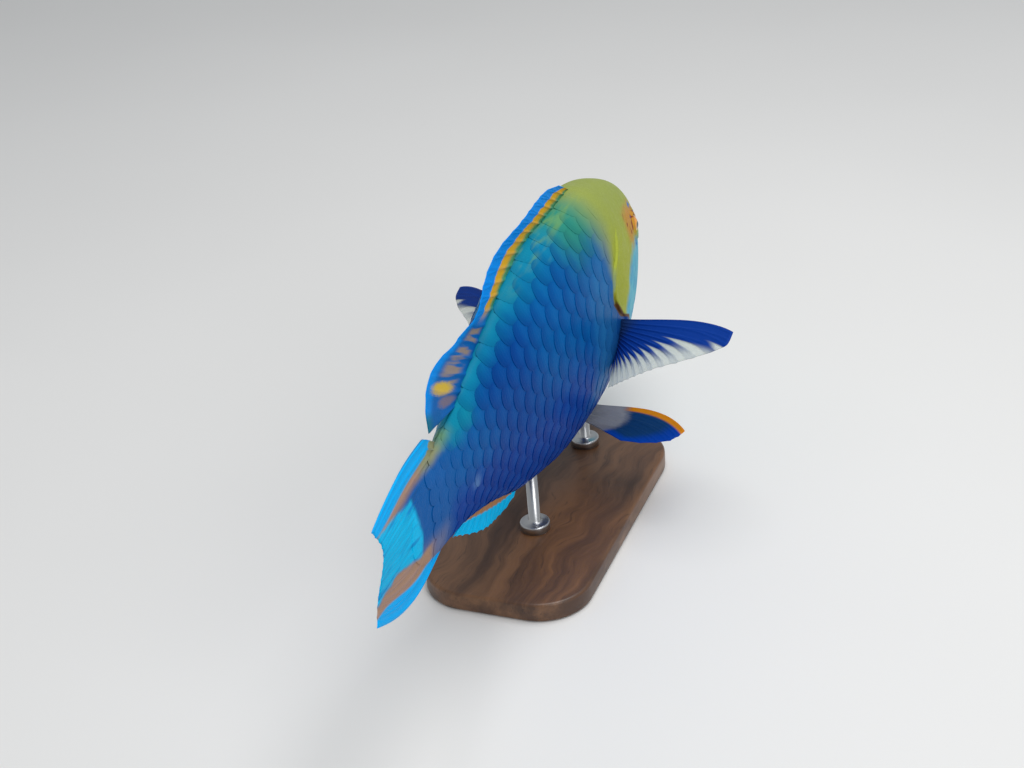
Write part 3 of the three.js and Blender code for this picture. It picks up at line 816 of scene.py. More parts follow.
# %% [markdown]
# The markings of the body are a list of patches, each a soft-edged window in distance and angle,
# laid one over the other on the blue of the flank. The head comes over them: an olive cap, a
# blue-green throat and an orange patch round the eye, broken by small dark and blue spots.

# %% The markings
# colour, distances from the snout, softness, angles, softness, strength
PATCHES = [
    ("low flank", (4, 62, 148), 60, 400, 20, -120, -3, 18, 1.0),
    ("back", (12, 128, 159), 100, 400, 30, 62, 120, 20, 1.0),
    ("light front flank", (36, 108, 166), 132, 168, 14, -36, 34, 12, 0.85),
    ("dark rear flank", (2, 62, 142), 236, 292, 16, -12, 62, 16, 0.7),
    ("teal shoulder", (46, 136, 114), 112, 172, 16, 44, 120, 16, 0.92),
    ("belly", (44, 84, 142), 60, 330, 20, -120, -76, 10, 0.6),
    ("teal saddle", (12, 130, 158), 303, 332, 8, 44, 88, 12, 0.9),
    ("green saddle", (112, 154, 112), 328, 352, 7, 62, 120, 10, 0.9),
    ("pale spot", (110, 152, 200), 311, 319, 3, -17, -8, 4, 0.6),
]
FLANK = (4, 88, 158)
# how fine the noises are that move the edges, and how far they move them
DRIFT_NOISE, DRIFT_ALONG, DRIFT_OF_HEAD = 38, 16, 3
WAVE_NOISE, WAVE_ROUND, WAVE_OF_CHEEK = 95, 14, 8
# windows below are begin, end and softness, along the fish or round it
FLECK_GREEN, FLECK_SHARE = (116, 158, 84), 0.6
FLECK_ALONG, FLECK_ROUND = (96, 216, 26), (68, 130, 10)
FLECK_STRETCH, FLECK_FADE = (42, 190, 190), (0.46, 0.7)
OLIVE_TOP = (148, 160, 78)
OLIVE_LOW = (162, 170, 48)
OLIVE_FADE = (60, 0)
# the rear edge of the olive is crisp at the gill cover and soft on the nape
OLIVE_EDGE_SOFT = (6, 44, 1.2, 21)
THROAT = (90, 184, 204)
THROAT_DARK = (62, 158, 196)
THROAT_NOISE, THROAT_FADE, CHEEK_SOFT = 70, (0.36, 0.68), 4.5
EYE_ORANGE, EYE_ORANGE_SHARE = (196, 124, 48), 0.75
EYE_ORANGE_ALONG, EYE_ORANGE_ROUND = (38, 78, 8), (13, 38, 6)
EYE_RED = (120, 40, 28)
EYE_RED_NOISE, EYE_RED_FADE = 240, (0.58, 0.68)
SPOT_BLUE = (20, 110, 190)
SPOT_RING, SPOT_NOISE, SPOT_FADE = (10.5, 14.5, 1.2), 110, (0.5, 0.62)
GILL_LINE = (96, 62, 30)
GILL_LINE_ACROSS, GILL_LINE_ROUND = (-1.6, 2.2, 0.8), (-16, 7, 4)


def flank_colour(tree, x, rise, straight):
    colour = paint(*FLANK)
    for _, tint, start, end, soft, low, high, rise_soft, strength in PATCHES:
        along = between(tree, x, start, end, soft)
        round_body = between(tree, rise, low, high, rise_soft)
        colour = tinted(tree, product(tree, along, round_body, strength), colour, tint)
    # yellow-green flecks that stream back from the nape
    flecks = eased(tree, noise(tree, stretched(tree, straight, FLECK_STRETCH), 1.0, 2.0), *FLECK_FADE)
    near_nape = product(tree, between(tree, x, *FLECK_ALONG), between(tree, rise, *FLECK_ROUND))
    return tinted(tree, product(tree, flecks, near_nape, FLECK_SHARE), colour, FLECK_GREEN)


def head_colour(tree, x, rise, above, from_eye, straight):
    cap = two_tone(tree, eased(tree, rise, *OLIVE_FADE), (OLIVE_TOP, OLIVE_LOW))
    bands = eased(tree, noise(tree, straight, THROAT_NOISE, 2.0), *THROAT_FADE)
    throat = two_tone(tree, bands, (THROAT, THROAT_DARK))
    head = blended(tree, eased(tree, above, -CHEEK_SOFT, CHEEK_SOFT), throat, cap)
    orange = product(tree, between(tree, x, *EYE_ORANGE_ALONG), between(tree, rise, *EYE_ORANGE_ROUND))
    head = tinted(tree, product(tree, orange, EYE_ORANGE_SHARE), head, EYE_ORANGE)
    red = eased(tree, noise(tree, straight, EYE_RED_NOISE, 1.0), *EYE_RED_FADE)
    head = tinted(tree, product(tree, red, orange), head, EYE_RED)
    breaks = eased(tree, noise(tree, straight, SPOT_NOISE, 2.0), *SPOT_FADE)
    spots = product(tree, between(tree, from_eye, *SPOT_RING), breaks)
    return tinted(tree, spots, head, SPOT_BLUE)


def make_markings():
    tree, given, out = new_group(
        "parrotfish_markings",
        [("Place", "Vector"), ("Lines", "Vector"), ("Straight", "Vector")],
        [("Color", "Color"), ("Head", "Float")],
    )
    straight = given["Straight"]
    x, rise, _ = parts_of(tree, given["Place"])
    inside, above, from_eye = parts_of(tree, given["Lines"])
    drift = minus(tree, noise(tree, straight, DRIFT_NOISE), 0.5)
    wave = minus(tree, noise(tree, straight, WAVE_NOISE), 0.5)
    x = scaled(tree, drift, DRIFT_ALONG, x)
    rise = scaled(tree, wave, WAVE_ROUND, rise)
    above = scaled(tree, wave, WAVE_OF_CHEEK, above)
    soft = eased(tree, rise, *OLIVE_EDGE_SOFT)
    in_head = eased(tree, scaled(tree, drift, DRIFT_OF_HEAD, inside), product(tree, soft, -1), soft)
    head = head_colour(tree, x, rise, above, from_eye, straight)
    colour = blended(tree, in_head, flank_colour(tree, x, rise, straight), head)
    # the dark line along the lower rear edge of the gill cover
    on_edge = product(
        tree, between(tree, inside, *GILL_LINE_ACROSS), between(tree, rise, *GILL_LINE_ROUND)
    )
    colour = tinted(tree, on_edge, colour, GILL_LINE)
    tail = placed_group(tree, tail_group, Straight=straight)
    feed(tree, out["Color"], blended(tree, tail["Share"], colour, tail["Color"]))
    feed(tree, out["Head"], in_head)
    return tree


markings = make_markings()
print("markings have", len(PATCHES), "patches besides the head")

# %% [markdown]
# A painted museum fish is satin: a soft sheen from the body colour and a thin clear coat over
# it. The bare skin of the head has fine pores, which a small noise gives as bump.

# %% The skin's finish
# how fine the pores and the little folds are, the folds' part in the bump, and the tone of a pore
PORE_SCALE, FOLD_SCALE, FOLD_PART = 900, 210, 1.4
PORE_TONE = (0.3, 0.7, 0.93, 1.05)


def make_skin_material():
    material, tree, shader = new_material(
        "satin_fish_skin", 0.45, coat=0.03, coat_roughness=0.25, shine=0.03
    )
    straight = attribute(tree, "straight")
    marked = placed_group(
        tree, markings, Place=attribute(tree, "place"), Lines=attribute(tree, "lines"), Straight=straight
    )
    pores = noise(tree, straight, PORE_SCALE, 3.0)
    folds = noise(tree, straight, FOLD_SCALE, 4.0, 0.6)
    height = scaled(tree, folds, FOLD_PART, pores)
    speck = eased(tree, pores, *PORE_TONE)
    feed(tree, shader["Base Color"], brightened(tree, marked["Color"], speck))
    feed(tree, shader["Roughness"], eased(tree, folds, 0.3, 0.7, 0.36, 0.5))
    feed(tree, shader["Normal"], bumped(tree, height, 0.25 * MM, 0.7))
    return material


skin_material = make_skin_material()
add_piece(skin_mesh, "skin", skin_material, "trunk_skin", "head", "trunk", "tail_stalk")

# %% [markdown]
# The scales of a parrotfish are large: about two dozen in a row from gill cover to tail. Each is
# a thin plate, rooted at its front and free at its round rear edge, which lies over the roots of
# the next two. One plate is modelled flat from a grid, with a rim and an underside, and then
# laid on the body some hundreds of times, each in its own place on the rows.

# %% One scale, flat
SCALE_ACROSS = 8
SCALE_ALONG = 3
SCALE_THICK = 0.32
# where the round rear edge begins at the sides, as a share of the length, and how square it is
REAR_CORNER, REAR_SQUARE = 0.72, 2.2
ROOT_NARROW = 0.86


def flat_scale():
    """A plate: across from -1 to 1, along from 0 at the root to 1 at the middle of the rear edge."""
    bm = bmesh.new()
    bmesh.ops.create_grid(bm, x_segments=SCALE_ACROSS, y_segments=SCALE_ALONG, size=1)
    rim = [e for e in bm.edges if e.is_boundary]
    for edge in rim:
        edge.smooth = False
    extruded = bmesh.ops.extrude_edge_only(bm, edges=rim)["geom"]
    lower = [g for g in extruded if isinstance(g, bmesh.types.BMVert)]
    bmesh.ops.translate(bm, verts=lower, vec=(0, 0, -1))
    bmesh.ops.holes_fill(bm, edges=[e for e in bm.edges if e.is_boundary], sides=0)
    bmesh.ops.recalc_face_normals(bm, faces=bm.faces[:])
    mesh = mesh_from(bm, "flat_scale")
    across, along, depth = points_of(mesh).T
    across = np.sin(across * math.pi / 2)
    share = (along + 1) / 2
    rear = REAR_CORNER + (1 - REAR_CORNER) * (1 - np.abs(across) ** REAR_SQUARE) ** 0.5
    across = across * mix(ROOT_NARROW, 1, ease(share, 0, 0.5))
    return mesh, np.stack([across, share * rear, depth, share], -1)


scale_mesh, scale_shape = flat_scale()
print("one scale has", len(scale_mesh.polygons), "faces")

# %% [markdown]
# To lay scales evenly, a place on the body is also named by its distance round the section from
# the side line. A table of those distances, for every few millimetres of the body, turns them
# back into angles.

# %% Distances round the body
TABLE_X = np.arange(2, SKIN_END - 1, 3.0)
TABLE_ANGLES = np.radians(np.arange(-90, 90.5, 1.0))


def girth_table():
    y, z = section_point(TABLE_X[:, None], TABLE_ANGLES[None, :])
    steps = np.hypot(np.diff(y, axis=1), np.diff(z, axis=1))
    lengths = np.concatenate([np.zeros((len(TABLE_X), 1)), np.cumsum(steps, axis=1)], axis=1)
    return lengths - lengths[:, len(TABLE_ANGLES) // 2][:, None]


GIRTH = girth_table()


def girth_rows(x):
    at = np.clip((x - TABLE_X[0]) / (TABLE_X[1] - TABLE_X[0]), 0, len(TABLE_X) - 1.001)
    i = at.astype(int)
    share = (at - i)[:, None]
    return GIRTH[i] * (1 - share) + GIRTH[i + 1] * share


def angle_at(x, distance, side):
    """The angle round the section at a distance up from the side line, across back or belly too."""
    rows = girth_rows(x)
    top, bottom = rows[:, -1], rows[:, 0]
    over = np.where(distance > top, 2 * top - distance, distance)
    over = np.where(distance < bottom, 2 * bottom - distance, over)
    crossed = (distance > top) | (distance < bottom)
    index = np.clip((rows < over[:, None]).sum(axis=1) - 1, 0, rows.shape[1] - 2)
    every = np.arange(len(x))
    low, high = rows[every, index], rows[every, index + 1]
    share = np.clip((over - low) / np.maximum(high - low, 1e-9), 0, 1)
    angle = TABLE_ANGLES[index] + share * (TABLE_ANGLES[1] - TABLE_ANGLES[0])
    left = (side > 0) ^ crossed
    return np.where(left, angle, math.pi - angle)


def straight_point(x, angle, extra):
    """A point of the straight fish, raised from the skin along its outward direction."""
    tiny_x, tiny_turn = 0.5, 0.01

    def at(x, angle):
        y, z = section_point(x, angle)
        return np.stack([x, y, z], -1)

    along = at(x + tiny_x, angle) - at(x - tiny_x, angle)
    around = at(x, angle + tiny_turn) - at(x, angle - tiny_turn)
    out = np.cross(around, along)
    out = out / np.linalg.norm(out, axis=1)[:, None]
    return at(x, angle) + out * extra[:, None]


deepest_rows = girth_rows(np.array([float(DEEPEST_AT)]))[0]
print("girth of the deepest body in mm:", round(2 * float(deepest_rows[-1] - deepest_rows[0]), 1))

# %% [markdown]
# The rows keep their number and draw closer together towards the tail, and rows run out along
# the back and the belly, as on the real fish. Every second column is moved by half a row, so a
# scale's free edge falls between two roots. A row of scales rides along the middle of the belly,
# and one along the middle of the back in front of the dorsal fin.

# %% Lay the scales
SCALE_PITCH = 10.3
SCALE_FIRST = 74
SCALE_LAST = 372
SCALE_LENGTH = 21.5
SCALE_BEHIND = 0.62
HALF_SPREAD = 0.535
ROWS_EACH_WAY = 14
# room left free at the belly and the back, and the little beside the dorsal fin, in rows
EDGE_ROOM, FIN_ROOM = 0.42, 0.16
# scales begin this far ahead of the gill cover's edge, and everywhere above this height
AHEAD_OF_GILL, NAPE_ABOVE = 6, 38
# from here on the dorsal fin stands on the back, and no scale crosses it
BACK_PARTED = 105
BACK_ROOM = 2.5
EDGE_LIFT = 0.05
ROOT_DROP = 0.55
SIDE_DROOP = 0.12
# the scales lie flatter here: the share of the lift that is left, and where it changes
FLAT_NAPE, NAPE_LIFTS = 0.06, (98, 140)
FLAT_TAIL, TAIL_FLATTENS = 0.2, (330, 372)
FLAT_BACK, BACK_LIFTS = 0.4, (2, 20)
# how deep a scale of the nape lies in the skin, and how much deeper at its root
NAPE_SUNK, NAPE_SLOPE = 0.5, 0.3
# how much the scales differ in their turn and size, and how far a turned scale's sides move
TILT_SPREAD, SIZE_SPREAD, TILT_REACH = 0.05, 0.03, 8
SCALE_NEAREST = 4
# half the width and the whole length of a scale's patch on the flat map, and the map's margin
BAKE_HALF, BAKE_LONG, BAKE_MARGIN = 0.0015, 0.003, 0.001
row_spacing = smooth_through([60, 200, 320, 400], [15.5, 15.5, 11, 9])


def scale_places():
    """Column, distance round the body in rows, and side, for every scale."""
    places = []
    x = SCALE_FIRST
    column = 0
    while x < SCALE_LAST:
        rows = girth_rows(np.array([float(x)]))[0]
        spacing = float(row_spacing(x))
        top_room = FIN_ROOM if x > BACK_PARTED else EDGE_ROOM
        half = 0.5 * (column % 2)
        for side in (1, -1):
            for row in range(-ROWS_EACH_WAY, ROWS_EACH_WAY + 1):
                distance = (row + half) * spacing
                if rows[0] + EDGE_ROOM * spacing < distance < rows[-1] - top_room * spacing:
                    angle = angle_at(np.array([float(x)]), np.array([distance]), np.array([side]))[0]
                    z = section_point(x, angle)[1]
                    if x > gill_edge_at(z) - AHEAD_OF_GILL or z > NAPE_ABOVE:
                        places.append((x, distance / spacing, side))
        if x < BACK_PARTED:
            places.append((x, rows[-1] / spacing, 1))
        if x > gill_edge_at(belly_at(x)):
            places.append((x, rows[0] / spacing, 1))
        x += SCALE_PITCH
        column += 1
    return places


def scale_lift(x0, across, along, room):
    """How far a scale's plate stands from the skin: sunk at its root, a little raised behind."""
    low_nape = mix(FLAT_NAPE, 1, ease(x0, *NAPE_LIFTS))
    low_tail = mix(1, FLAT_TAIL, ease(x0, *TAIL_FLATTENS))
    low_back = mix(FLAT_BACK, 1, ease(room, *BACK_LIFTS))
    lift = mix(-ROOT_DROP, EDGE_LIFT, along) * low_tail * low_back
    return mix(NAPE_SLOPE * (along - 1) - NAPE_SUNK, lift, low_nape) - SIDE_DROOP * across**2


def add_bake_map(mesh, patch):
    """Writes a flat map for the colours: each scale a small patch at its root."""
    layer = mesh.uv_layers.new(name="OFBake")
    corner = np.empty(len(mesh.loops), int)
    mesh.loops.foreach_get("vertex_index", corner)
    layer.uv.foreach_set("vector", np.clip(patch, BAKE_MARGIN, 1 - BAKE_MARGIN)[corner].ravel())


def lay_scales():
    places = scale_places()
    bm = bmesh.new()
    for _ in places:
        bm.from_mesh(scale_mesh)
    mesh = mesh_from(bm, "scales")
    chance = np.random.default_rng(7)
    count = len(scale_shape)
    across, along, depth, share = np.tile(scale_shape, (len(places), 1)).T
    x0, row, side = np.repeat(np.array(places, float), count, axis=0).T
    tilt = np.repeat(chance.normal(0, TILT_SPREAD, len(places)), count)
    size = np.repeat(chance.normal(1, SIZE_SPREAD, len(places)), count)
    x = x0 + (along - SCALE_BEHIND) * SCALE_LENGTH * size - tilt * across * TILT_REACH
    x = np.clip(x, SCALE_NEAREST, SKIN_END - 1)
    distance = (row + across * HALF_SPREAD + tilt * (along - 0.5)) * row_spacing(x)
    room = girth_rows(x)[:, -1] - BACK_ROOM - distance
    squeezed = distance + room - BACK_ROOM * (np.exp(np.minimum(room, 0) / BACK_ROOM) - 1)
    distance = np.where((x0 > BACK_PARTED) & (room < 0), squeezed, distance)
    lift = scale_lift(x0, across, along, room) + depth * SCALE_THICK
    points = straight_point(x, angle_at(x, distance, side), lift)
    set_points(mesh, bent(*points.T))
    store_places(mesh, points)
    root_angle = angle_at(x0, row * row_spacing(x0), side)
    store(mesh, "root", place_of(x0, *section_point(x0, root_angle)))
    seed = np.repeat(chance.random(len(places)), count)
    store(mesh, "scale", np.stack([across, share, seed], -1))
    turn = np.degrees(root_angle) % 360 / 360
    patch = [turn + across * BAKE_HALF, x0 / SKIN_END + (along - 0.5) * BAKE_LONG]
    add_bake_map(mesh, np.stack(patch, -1))
    return mesh, len(places)


scales_mesh, scale_count = lay_scales()
print(scale_count, "scales laid")

# %% [markdown]
# Each scale takes part of its colour from its own root, so the markings step a little from scale
# to scale. Its rim is darker and its middle lighter, which draws the zigzag rows. The darker rim
# is partly the scale's own edge colour and partly painted shade, where its rear edge overlaps the
# next scale. Growth rings and a fine grain are bump.

# %% The scales' finish
ROOT_SHARE = 0.3
# the rims show on the flank and fade towards the nape, the tail and the back
RIMS_FROM_NAPE, RIMS_TO_TAIL = (112, 180, 0.2, 1), (290, 350, 1, 0.25)
RIMS_TO_BACK = (60, 84, 1, 0.35)
# the darker rim is partly the scale's own edge colour and partly painted shade where it overlaps the
# next scale
RIM_FADE, RIM_STRENGTH, RIM_TINT_AND_SHADE = (0.6, 0.97), 0.4, (110, 150, 190)
MIDDLE_ALONG, MIDDLE_ACROSS = (0.45, 0.7, 0.12), (0.3, 0.9, 1, 0)
# each scale has its own strength of the light middle, and its own tone: range and least value
MIDDLE_STRENGTH, MIDDLE_TINT = (0.1, 0.06), (14, 70, 74)
SCALE_TONE = (0.07, 0.965)
GROWTH_RINGS, RING_HEIGHT, GRAIN_SCALE = 60, 0.07, 700


def make_scale_material():
    material, tree, shader = new_material(
        "painted_scales", 0.42, coat=0.03, coat_roughness=0.22, shine=0.03
    )
    straight, root = attribute(tree, "straight"), attribute(tree, "root")
    across, share, seed = parts_of(tree, attribute(tree, "scale"))
    place = node(tree, "ShaderNodeMix", data_type="VECTOR")
    for index, value in ((0, ROOT_SHARE), (4, attribute(tree, "place")), (5, root)):
        feed(tree, place.inputs[index], value)
    marked = placed_group(
        tree, markings, Place=place.outputs[1], Lines=attribute(tree, "lines"), Straight=straight
    )
    root_x, root_rise, _ = parts_of(tree, root)
    flank = product(
        tree,
        minus(tree, 1, marked["Head"]),
        eased(tree, root_x, *RIMS_FROM_NAPE),
        eased(tree, root_x, *RIMS_TO_TAIL),
        eased(tree, root_rise, *RIMS_TO_BACK),
    )
    middle = product(
        tree,
        between(tree, share, *MIDDLE_ALONG),
        eased(tree, maths(tree, "ABSOLUTE", across), *MIDDLE_ACROSS),
        scaled(tree, seed, *MIDDLE_STRENGTH),
        flank,
    )
    # partly painted shade: the rim darkens where a scale's rear edge overlaps the next
    rim = product(tree, eased(tree, share, *RIM_FADE), flank, RIM_STRENGTH)
    light = blended(tree, 1, marked["Color"], paint(*MIDDLE_TINT), "ADD")
    dark = blended(tree, 1, marked["Color"], paint(*RIM_TINT_AND_SHADE), "MULTIPLY")
    colour = blended(tree, rim, blended(tree, middle, marked["Color"], light), dark)
    rings = maths(tree, "SINE", product(tree, share, GROWTH_RINGS))
    grain = noise(tree, straight, GRAIN_SCALE, 2.0)
    height = scaled(tree, rings, RING_HEIGHT, grain)
    feed(tree, shader["Base Color"], brightened(tree, colour, scaled(tree, seed, *SCALE_TONE)))
    feed(tree, shader["Roughness"], eased(tree, grain, 0.3, 0.7, 0.34, 0.48))
    feed(tree, shader["Normal"], bumped(tree, height, 0.2 * MM, 0.6))
    return material


scale_material = make_scale_material()
add_piece(scales_mesh, "scales", scale_material, "trunk_skin")

# %% [markdown]
# A fin is two faces of thin skin stretched over rays. Each starts as a flat grid, whose columns
# stand for places along the fin's root and whose rows run out to its margin. The grid is
# extruded into a closed plate, and a formula puts every point in place, thick over a ray and thin
# between two. Soft rays fork towards the margin, as real ones do.

# %% Fin plates
COLUMNS_PER_RAY = 14
ROOT_SINK = 4
WEB_ROOT, WEB_EDGE = 0.9, 0.5
MARGIN_NOTCH, NOTCH_WIDE = 0.9, 0.3
MARGIN_THIN, MARGIN_FROM = 0.45, 0.97
RAY_WIDE, RAY_END = 0.13, 0.5
# how far the branches of a ray part, in shares of the gap between two rays, and over what length
FORK_APART, FORK_LENGTH = 0.2, 0.5
SECOND_APART, SECOND_START, SECOND_END = 0.09, 0.3, 0.75
NO_FORK = 2


def ray_ridge(u, v, rays, fork, wide=RAY_WIDE):
    """One on the line of a ray, none between two. Behind the fork each ray is two branches."""
    phase = u * (rays - 1)
    off = np.abs(phase - np.round(phase))
    split = FORK_APART * ease(v, fork, fork + FORK_LENGTH)
    second = SECOND_APART * ease(v, fork + SECOND_START, fork + SECOND_END)
    branch = np.abs(np.abs(off - split) - second)
    narrow = wide * mix(1, RAY_END, ease(v, fork, 1))
    return np.exp(-((branch / narrow) ** 2))


def fin_plate(name, rays, rows, place, root, edge, fork):
    bm = bmesh.new()
    columns = (rays - 1) * COLUMNS_PER_RAY
    bmesh.ops.create_grid(bm, x_segments=columns, y_segments=rows, size=0.5)
    made = bmesh.ops.extrude_face_region(bm, geom=bm.faces[:])["geom"]
    upper = [g for g in made if isinstance(g, bmesh.types.BMVert)]
    bmesh.ops.translate(bm, verts=upper, vec=(0, 0, 1))
    mesh = mesh_from(bm, name)
    flat = points_of(mesh)
    u, v, face = flat[:, 0] + 0.5, flat[:, 1] + 0.5, 2 * flat[:, 2] - 1
    ridge = ray_ridge(u, v, rays, fork)
    drawn_in = MARGIN_NOTCH * (1 - ray_ridge(u, v * 0, rays, NO_FORK, NOTCH_WIDE))
    thick = mix(WEB_ROOT, WEB_EDGE, v) + ridge * mix(root - WEB_ROOT, edge - WEB_EDGE, v)
    thick = thick * mix(1, MARGIN_THIN, ease(v, MARGIN_FROM, 1))
    points, straight = place(u, v, drawn_in, face * thick / 2)
    set_points(mesh, points)
    store(mesh, "fin", np.stack([u, v, face], -1))
    store(mesh, "rays", np.stack([u * (rays - 1), v, ridge], -1))
    store(mesh, "straight", straight * MM)
    turn_outwards(mesh)
    return mesh


# %% [markdown]
# The three middle fins stand in the plane of the fish and lean back. The dorsal fin runs most of
# the back, low and folded, and rises to a lobe at its end. The tail fin is nearly shut.

# %% Middle fins
DORSAL_START, DORSAL_END = 109, 313
DORSAL_PLACES = [0, 0.08, 0.2, 0.4, 0.55, 0.68, 0.78, 0.88, 0.94, 0.97, 1]
dorsal_length = smooth_through(DORSAL_PLACES, [19, 28, 28.5, 31, 31, 26, 25.5, 47, 54, 54, 46])
dorsal_lean = smooth_through(DORSAL_PLACES, [60, 61, 61, 68, 72, 71, 61, 64, 66, 70, 81])
ANAL_START, ANAL_END = 230, 312
anal_length = smooth_through([0, 0.15, 0.5, 1], [7, 13, 17, 19])
anal_lean = smooth_through([0, 0.5, 1], [45, 53, 88])
CAUDAL_START = 346
CAUDAL_TOP, CAUDAL_BOTTOM = 39, -25
CAUDAL_TIP_TOP, CAUDAL_TIP_BOTTOM = 34, -12
caudal_end = smooth_through([0, 0.14, 0.38, 0.73, 1], [464, 458, 451, 447, 454])
CAUDAL_BULGE_TOP, CAUDAL_BULGE_BOTTOM = 4, 11
CAUDAL_SHOULDER, CAUDAL_SHOULDER_SHARE = 7, 0.12
# how far the margins wave to the side, and how often
DORSAL_WAVE_FRONT, DORSAL_WAVE_REAR, DORSAL_WAVES = 0.6, 2.8, 17
ANAL_WAVE, ANAL_WAVES = 1.2, 9
CAUDAL_WAVE, CAUDAL_WAVES, CAUDAL_WAVE_START = 1.5, 6, 0.6


def placed(*straight):
    return bent(*straight), np.stack(straight, -1)


def dorsal_place(u, v, drawn_in, shift):
    base = mix(DORSAL_START, DORSAL_END, u)
    lean = np.radians(dorsal_lean(u))
    reach = v * (dorsal_length(u) - drawn_in + ROOT_SINK) - ROOT_SINK
    wave = v * mix(DORSAL_WAVE_FRONT, DORSAL_WAVE_REAR, u) * np.sin(DORSAL_WAVES * u)
    return placed(base + reach * np.sin(lean), wave + shift, back_at(base) + reach * np.cos(lean))


def anal_place(u, v, drawn_in, shift):
    base = mix(ANAL_START, ANAL_END, u)
    lean = np.radians(anal_lean(u))
    reach = v * (anal_length(u) - drawn_in + ROOT_SINK) - ROOT_SINK
    wave = ANAL_WAVE * v * np.sin(ANAL_WAVES * u)
    return placed(base + reach * np.sin(lean), wave + shift, belly_at(base) - reach * np.cos(lean))


def caudal_place(u, v, drawn_in, shift):
    x = mix(CAUDAL_START, caudal_end(u) - drawn_in, v)
    shoulder = CAUDAL_SHOULDER * np.maximum(1 - v / CAUDAL_SHOULDER_SHARE, 0)
    root = mix(CAUDAL_BOTTOM, CAUDAL_TOP - shoulder, u)
    tip = mix(CAUDAL_TIP_BOTTOM, CAUDAL_TIP_TOP, u)
    bulge = mix(-CAUDAL_BULGE_BOTTOM, CAUDAL_BULGE_TOP, u) * np.sin(v * math.pi)
    wave = CAUDAL_WAVE * v * np.sin(CAUDAL_WAVES * u + CAUDAL_WAVE_START)
    return placed(x, wave + shift, mix(root, tip, v) + bulge)


# name, rays, rows, place, how thick a ray is at its root and at the margin, where it forks
dorsal_mesh = fin_plate("dorsal_fin_skin", 19, 30, dorsal_place, 2.4, 0.7, 0.45)
anal_mesh = fin_plate("anal_fin_skin", 12, 22, anal_place, 2.2, 0.7, 0.4)
caudal_mesh = fin_plate("caudal_fin_skin", 13, 44, caudal_place, 2.4, 0.7, 0.3)
print("middle fins made")

# %% [markdown]
# The paired fins are fans: each ray has its own direction and length, turned about one axis, and
# the front rays bow forward as water presses on them. The first ray carries the leading edge.

# %% Paired fins
RAYS = {"pectoral": 14, "pelvic": 6}
CURL_PEAK = 27 / 4
# the leading edge has no notches: they grow between these shares of the fan
NOTCHES_BEGIN = (0.06, 0.3)
PECTORAL_PLACES = [0, 0.08, 0.15, 0.25, 0.45, 0.7, 1]
right_pectoral_lengths = smooth_through(PECTORAL_PLACES, [82, 83.5, 77, 65, 47, 36, 28])
left_pectoral_lengths = smooth_through(PECTORAL_PLACES, [80, 83, 79, 67, 52, 40, 28])
pelvic_lengths = smooth_through([0, 0.3, 0.7, 1], [68, 66, 53, 36])
# where the first and the last ray begin: distance from the snout, to the side, and height
PECTORAL_ROOTS = [
    [124, float(side_width(124, -4)) - 1, -4],
    [131, float(side_width(131, -25)) - 1, -25],
]
PELVIC_ROOTS = [
    [130, 10, float(belly_at(130)) + 4.6],
    [140, 6, float(belly_at(140)) + 2],
]


def fan_place(side, roots, first, last, lengths, cup, curl):
    forward, left, up = directions(roots[0][0])

    def aim(sweep, rise):
        sweep, rise = math.radians(sweep), math.radians(rise)
        out = left * (side * math.cos(sweep) * math.cos(rise))
        return out - forward * (math.sin(sweep) * math.cos(rise)) + up * math.sin(rise)

    a, b = aim(*first), aim(*last)
    spread = a.angle(b)
    normal = a.cross(b).normalized()
    start, end = [bent(x, side * y, z) for x, y, z in roots]
    ahead = np.array(Matrix.Rotation(-math.pi / 2, 3, normal) @ a)
    a, normal = np.array(a), np.array(normal)

    def place(u, v, drawn_in, shift):
        turn = (spread * u)[:, None]
        direction = a * np.cos(turn) - ahead * np.sin(turn)
        forwards = ahead * np.cos(turn) + a * np.sin(turn)
        notch = drawn_in * ease(u, *NOTCHES_BEGIN)
        reach = v * (lengths(u) - notch + ROOT_SINK) - ROOT_SINK
        points = start + (end - start) * u[:, None] + direction * reach[:, None] * MM
        bow = curl * CURL_PEAK * v**2 * (1 - v) * (1 - u) * MM
        points = points + forwards * bow[:, None] + normal * ((cup * v**2 + shift) * MM)[:, None]
        return points, np.stack([reach * np.cos(spread * u), shift, -reach * np.sin(spread * u)], -1)

    return place


# side, roots, how far the first and the last ray point back and up in degrees, lengths, cup, bow
PAIRED = {
    "pectoral_fin_right": fan_place(
        -1, PECTORAL_ROOTS, (23, 11), (86, -10), right_pectoral_lengths, 2, 5
    ),
    "pectoral_fin_left": fan_place(
        1, PECTORAL_ROOTS, (-42, -8), (-13, -44), left_pectoral_lengths, -3.5, 4
    ),
    "pelvic_fin_right": fan_place(-1, PELVIC_ROOTS, (16, 1), (28, -2), pelvic_lengths, 3, 8),
    "pelvic_fin_left": fan_place(1, PELVIC_ROOTS, (34, -8), (54, -16), pelvic_lengths, -3, 5),
}
paired_meshes = {}
for name, place in PAIRED.items():
    rays = RAYS[name.split("_")[0]]
    paired_meshes[name] = fin_plate(name + "_skin", rays, 40, place, 2.2, 0.6, 0.5)
print(len(paired_meshes), "paired fins made")

# %% [markdown]
# All fins share one group that draws the rays. It puts out how much of a ray a point is on, how
# far it is off the nearest ray, fine and broad streaks along the rays, and a height for the bump,
# with the joints that cross a ray. Each fin then has its own colours.

# %% Rays of the fins
# how often the cross joints follow each other, where a joint shows, and how deep it is
JOINTS, JOINT_FADE, JOINT_DEPTH = 190, (0.4, 0.9), 0.35
# streaks are noise pulled out along the rays: how fine across a ray, and how fine along it
FINE_STREAKS, BROAD_STREAKS = (9, 5), (1.7, 0.9)


def streaks(tree, phase, v, fine, scale, detail):
    place = vector_of(tree, product(tree, phase, fine[0]), product(tree, v, fine[1]), 0)
    return noise(tree, place, scale, detail)


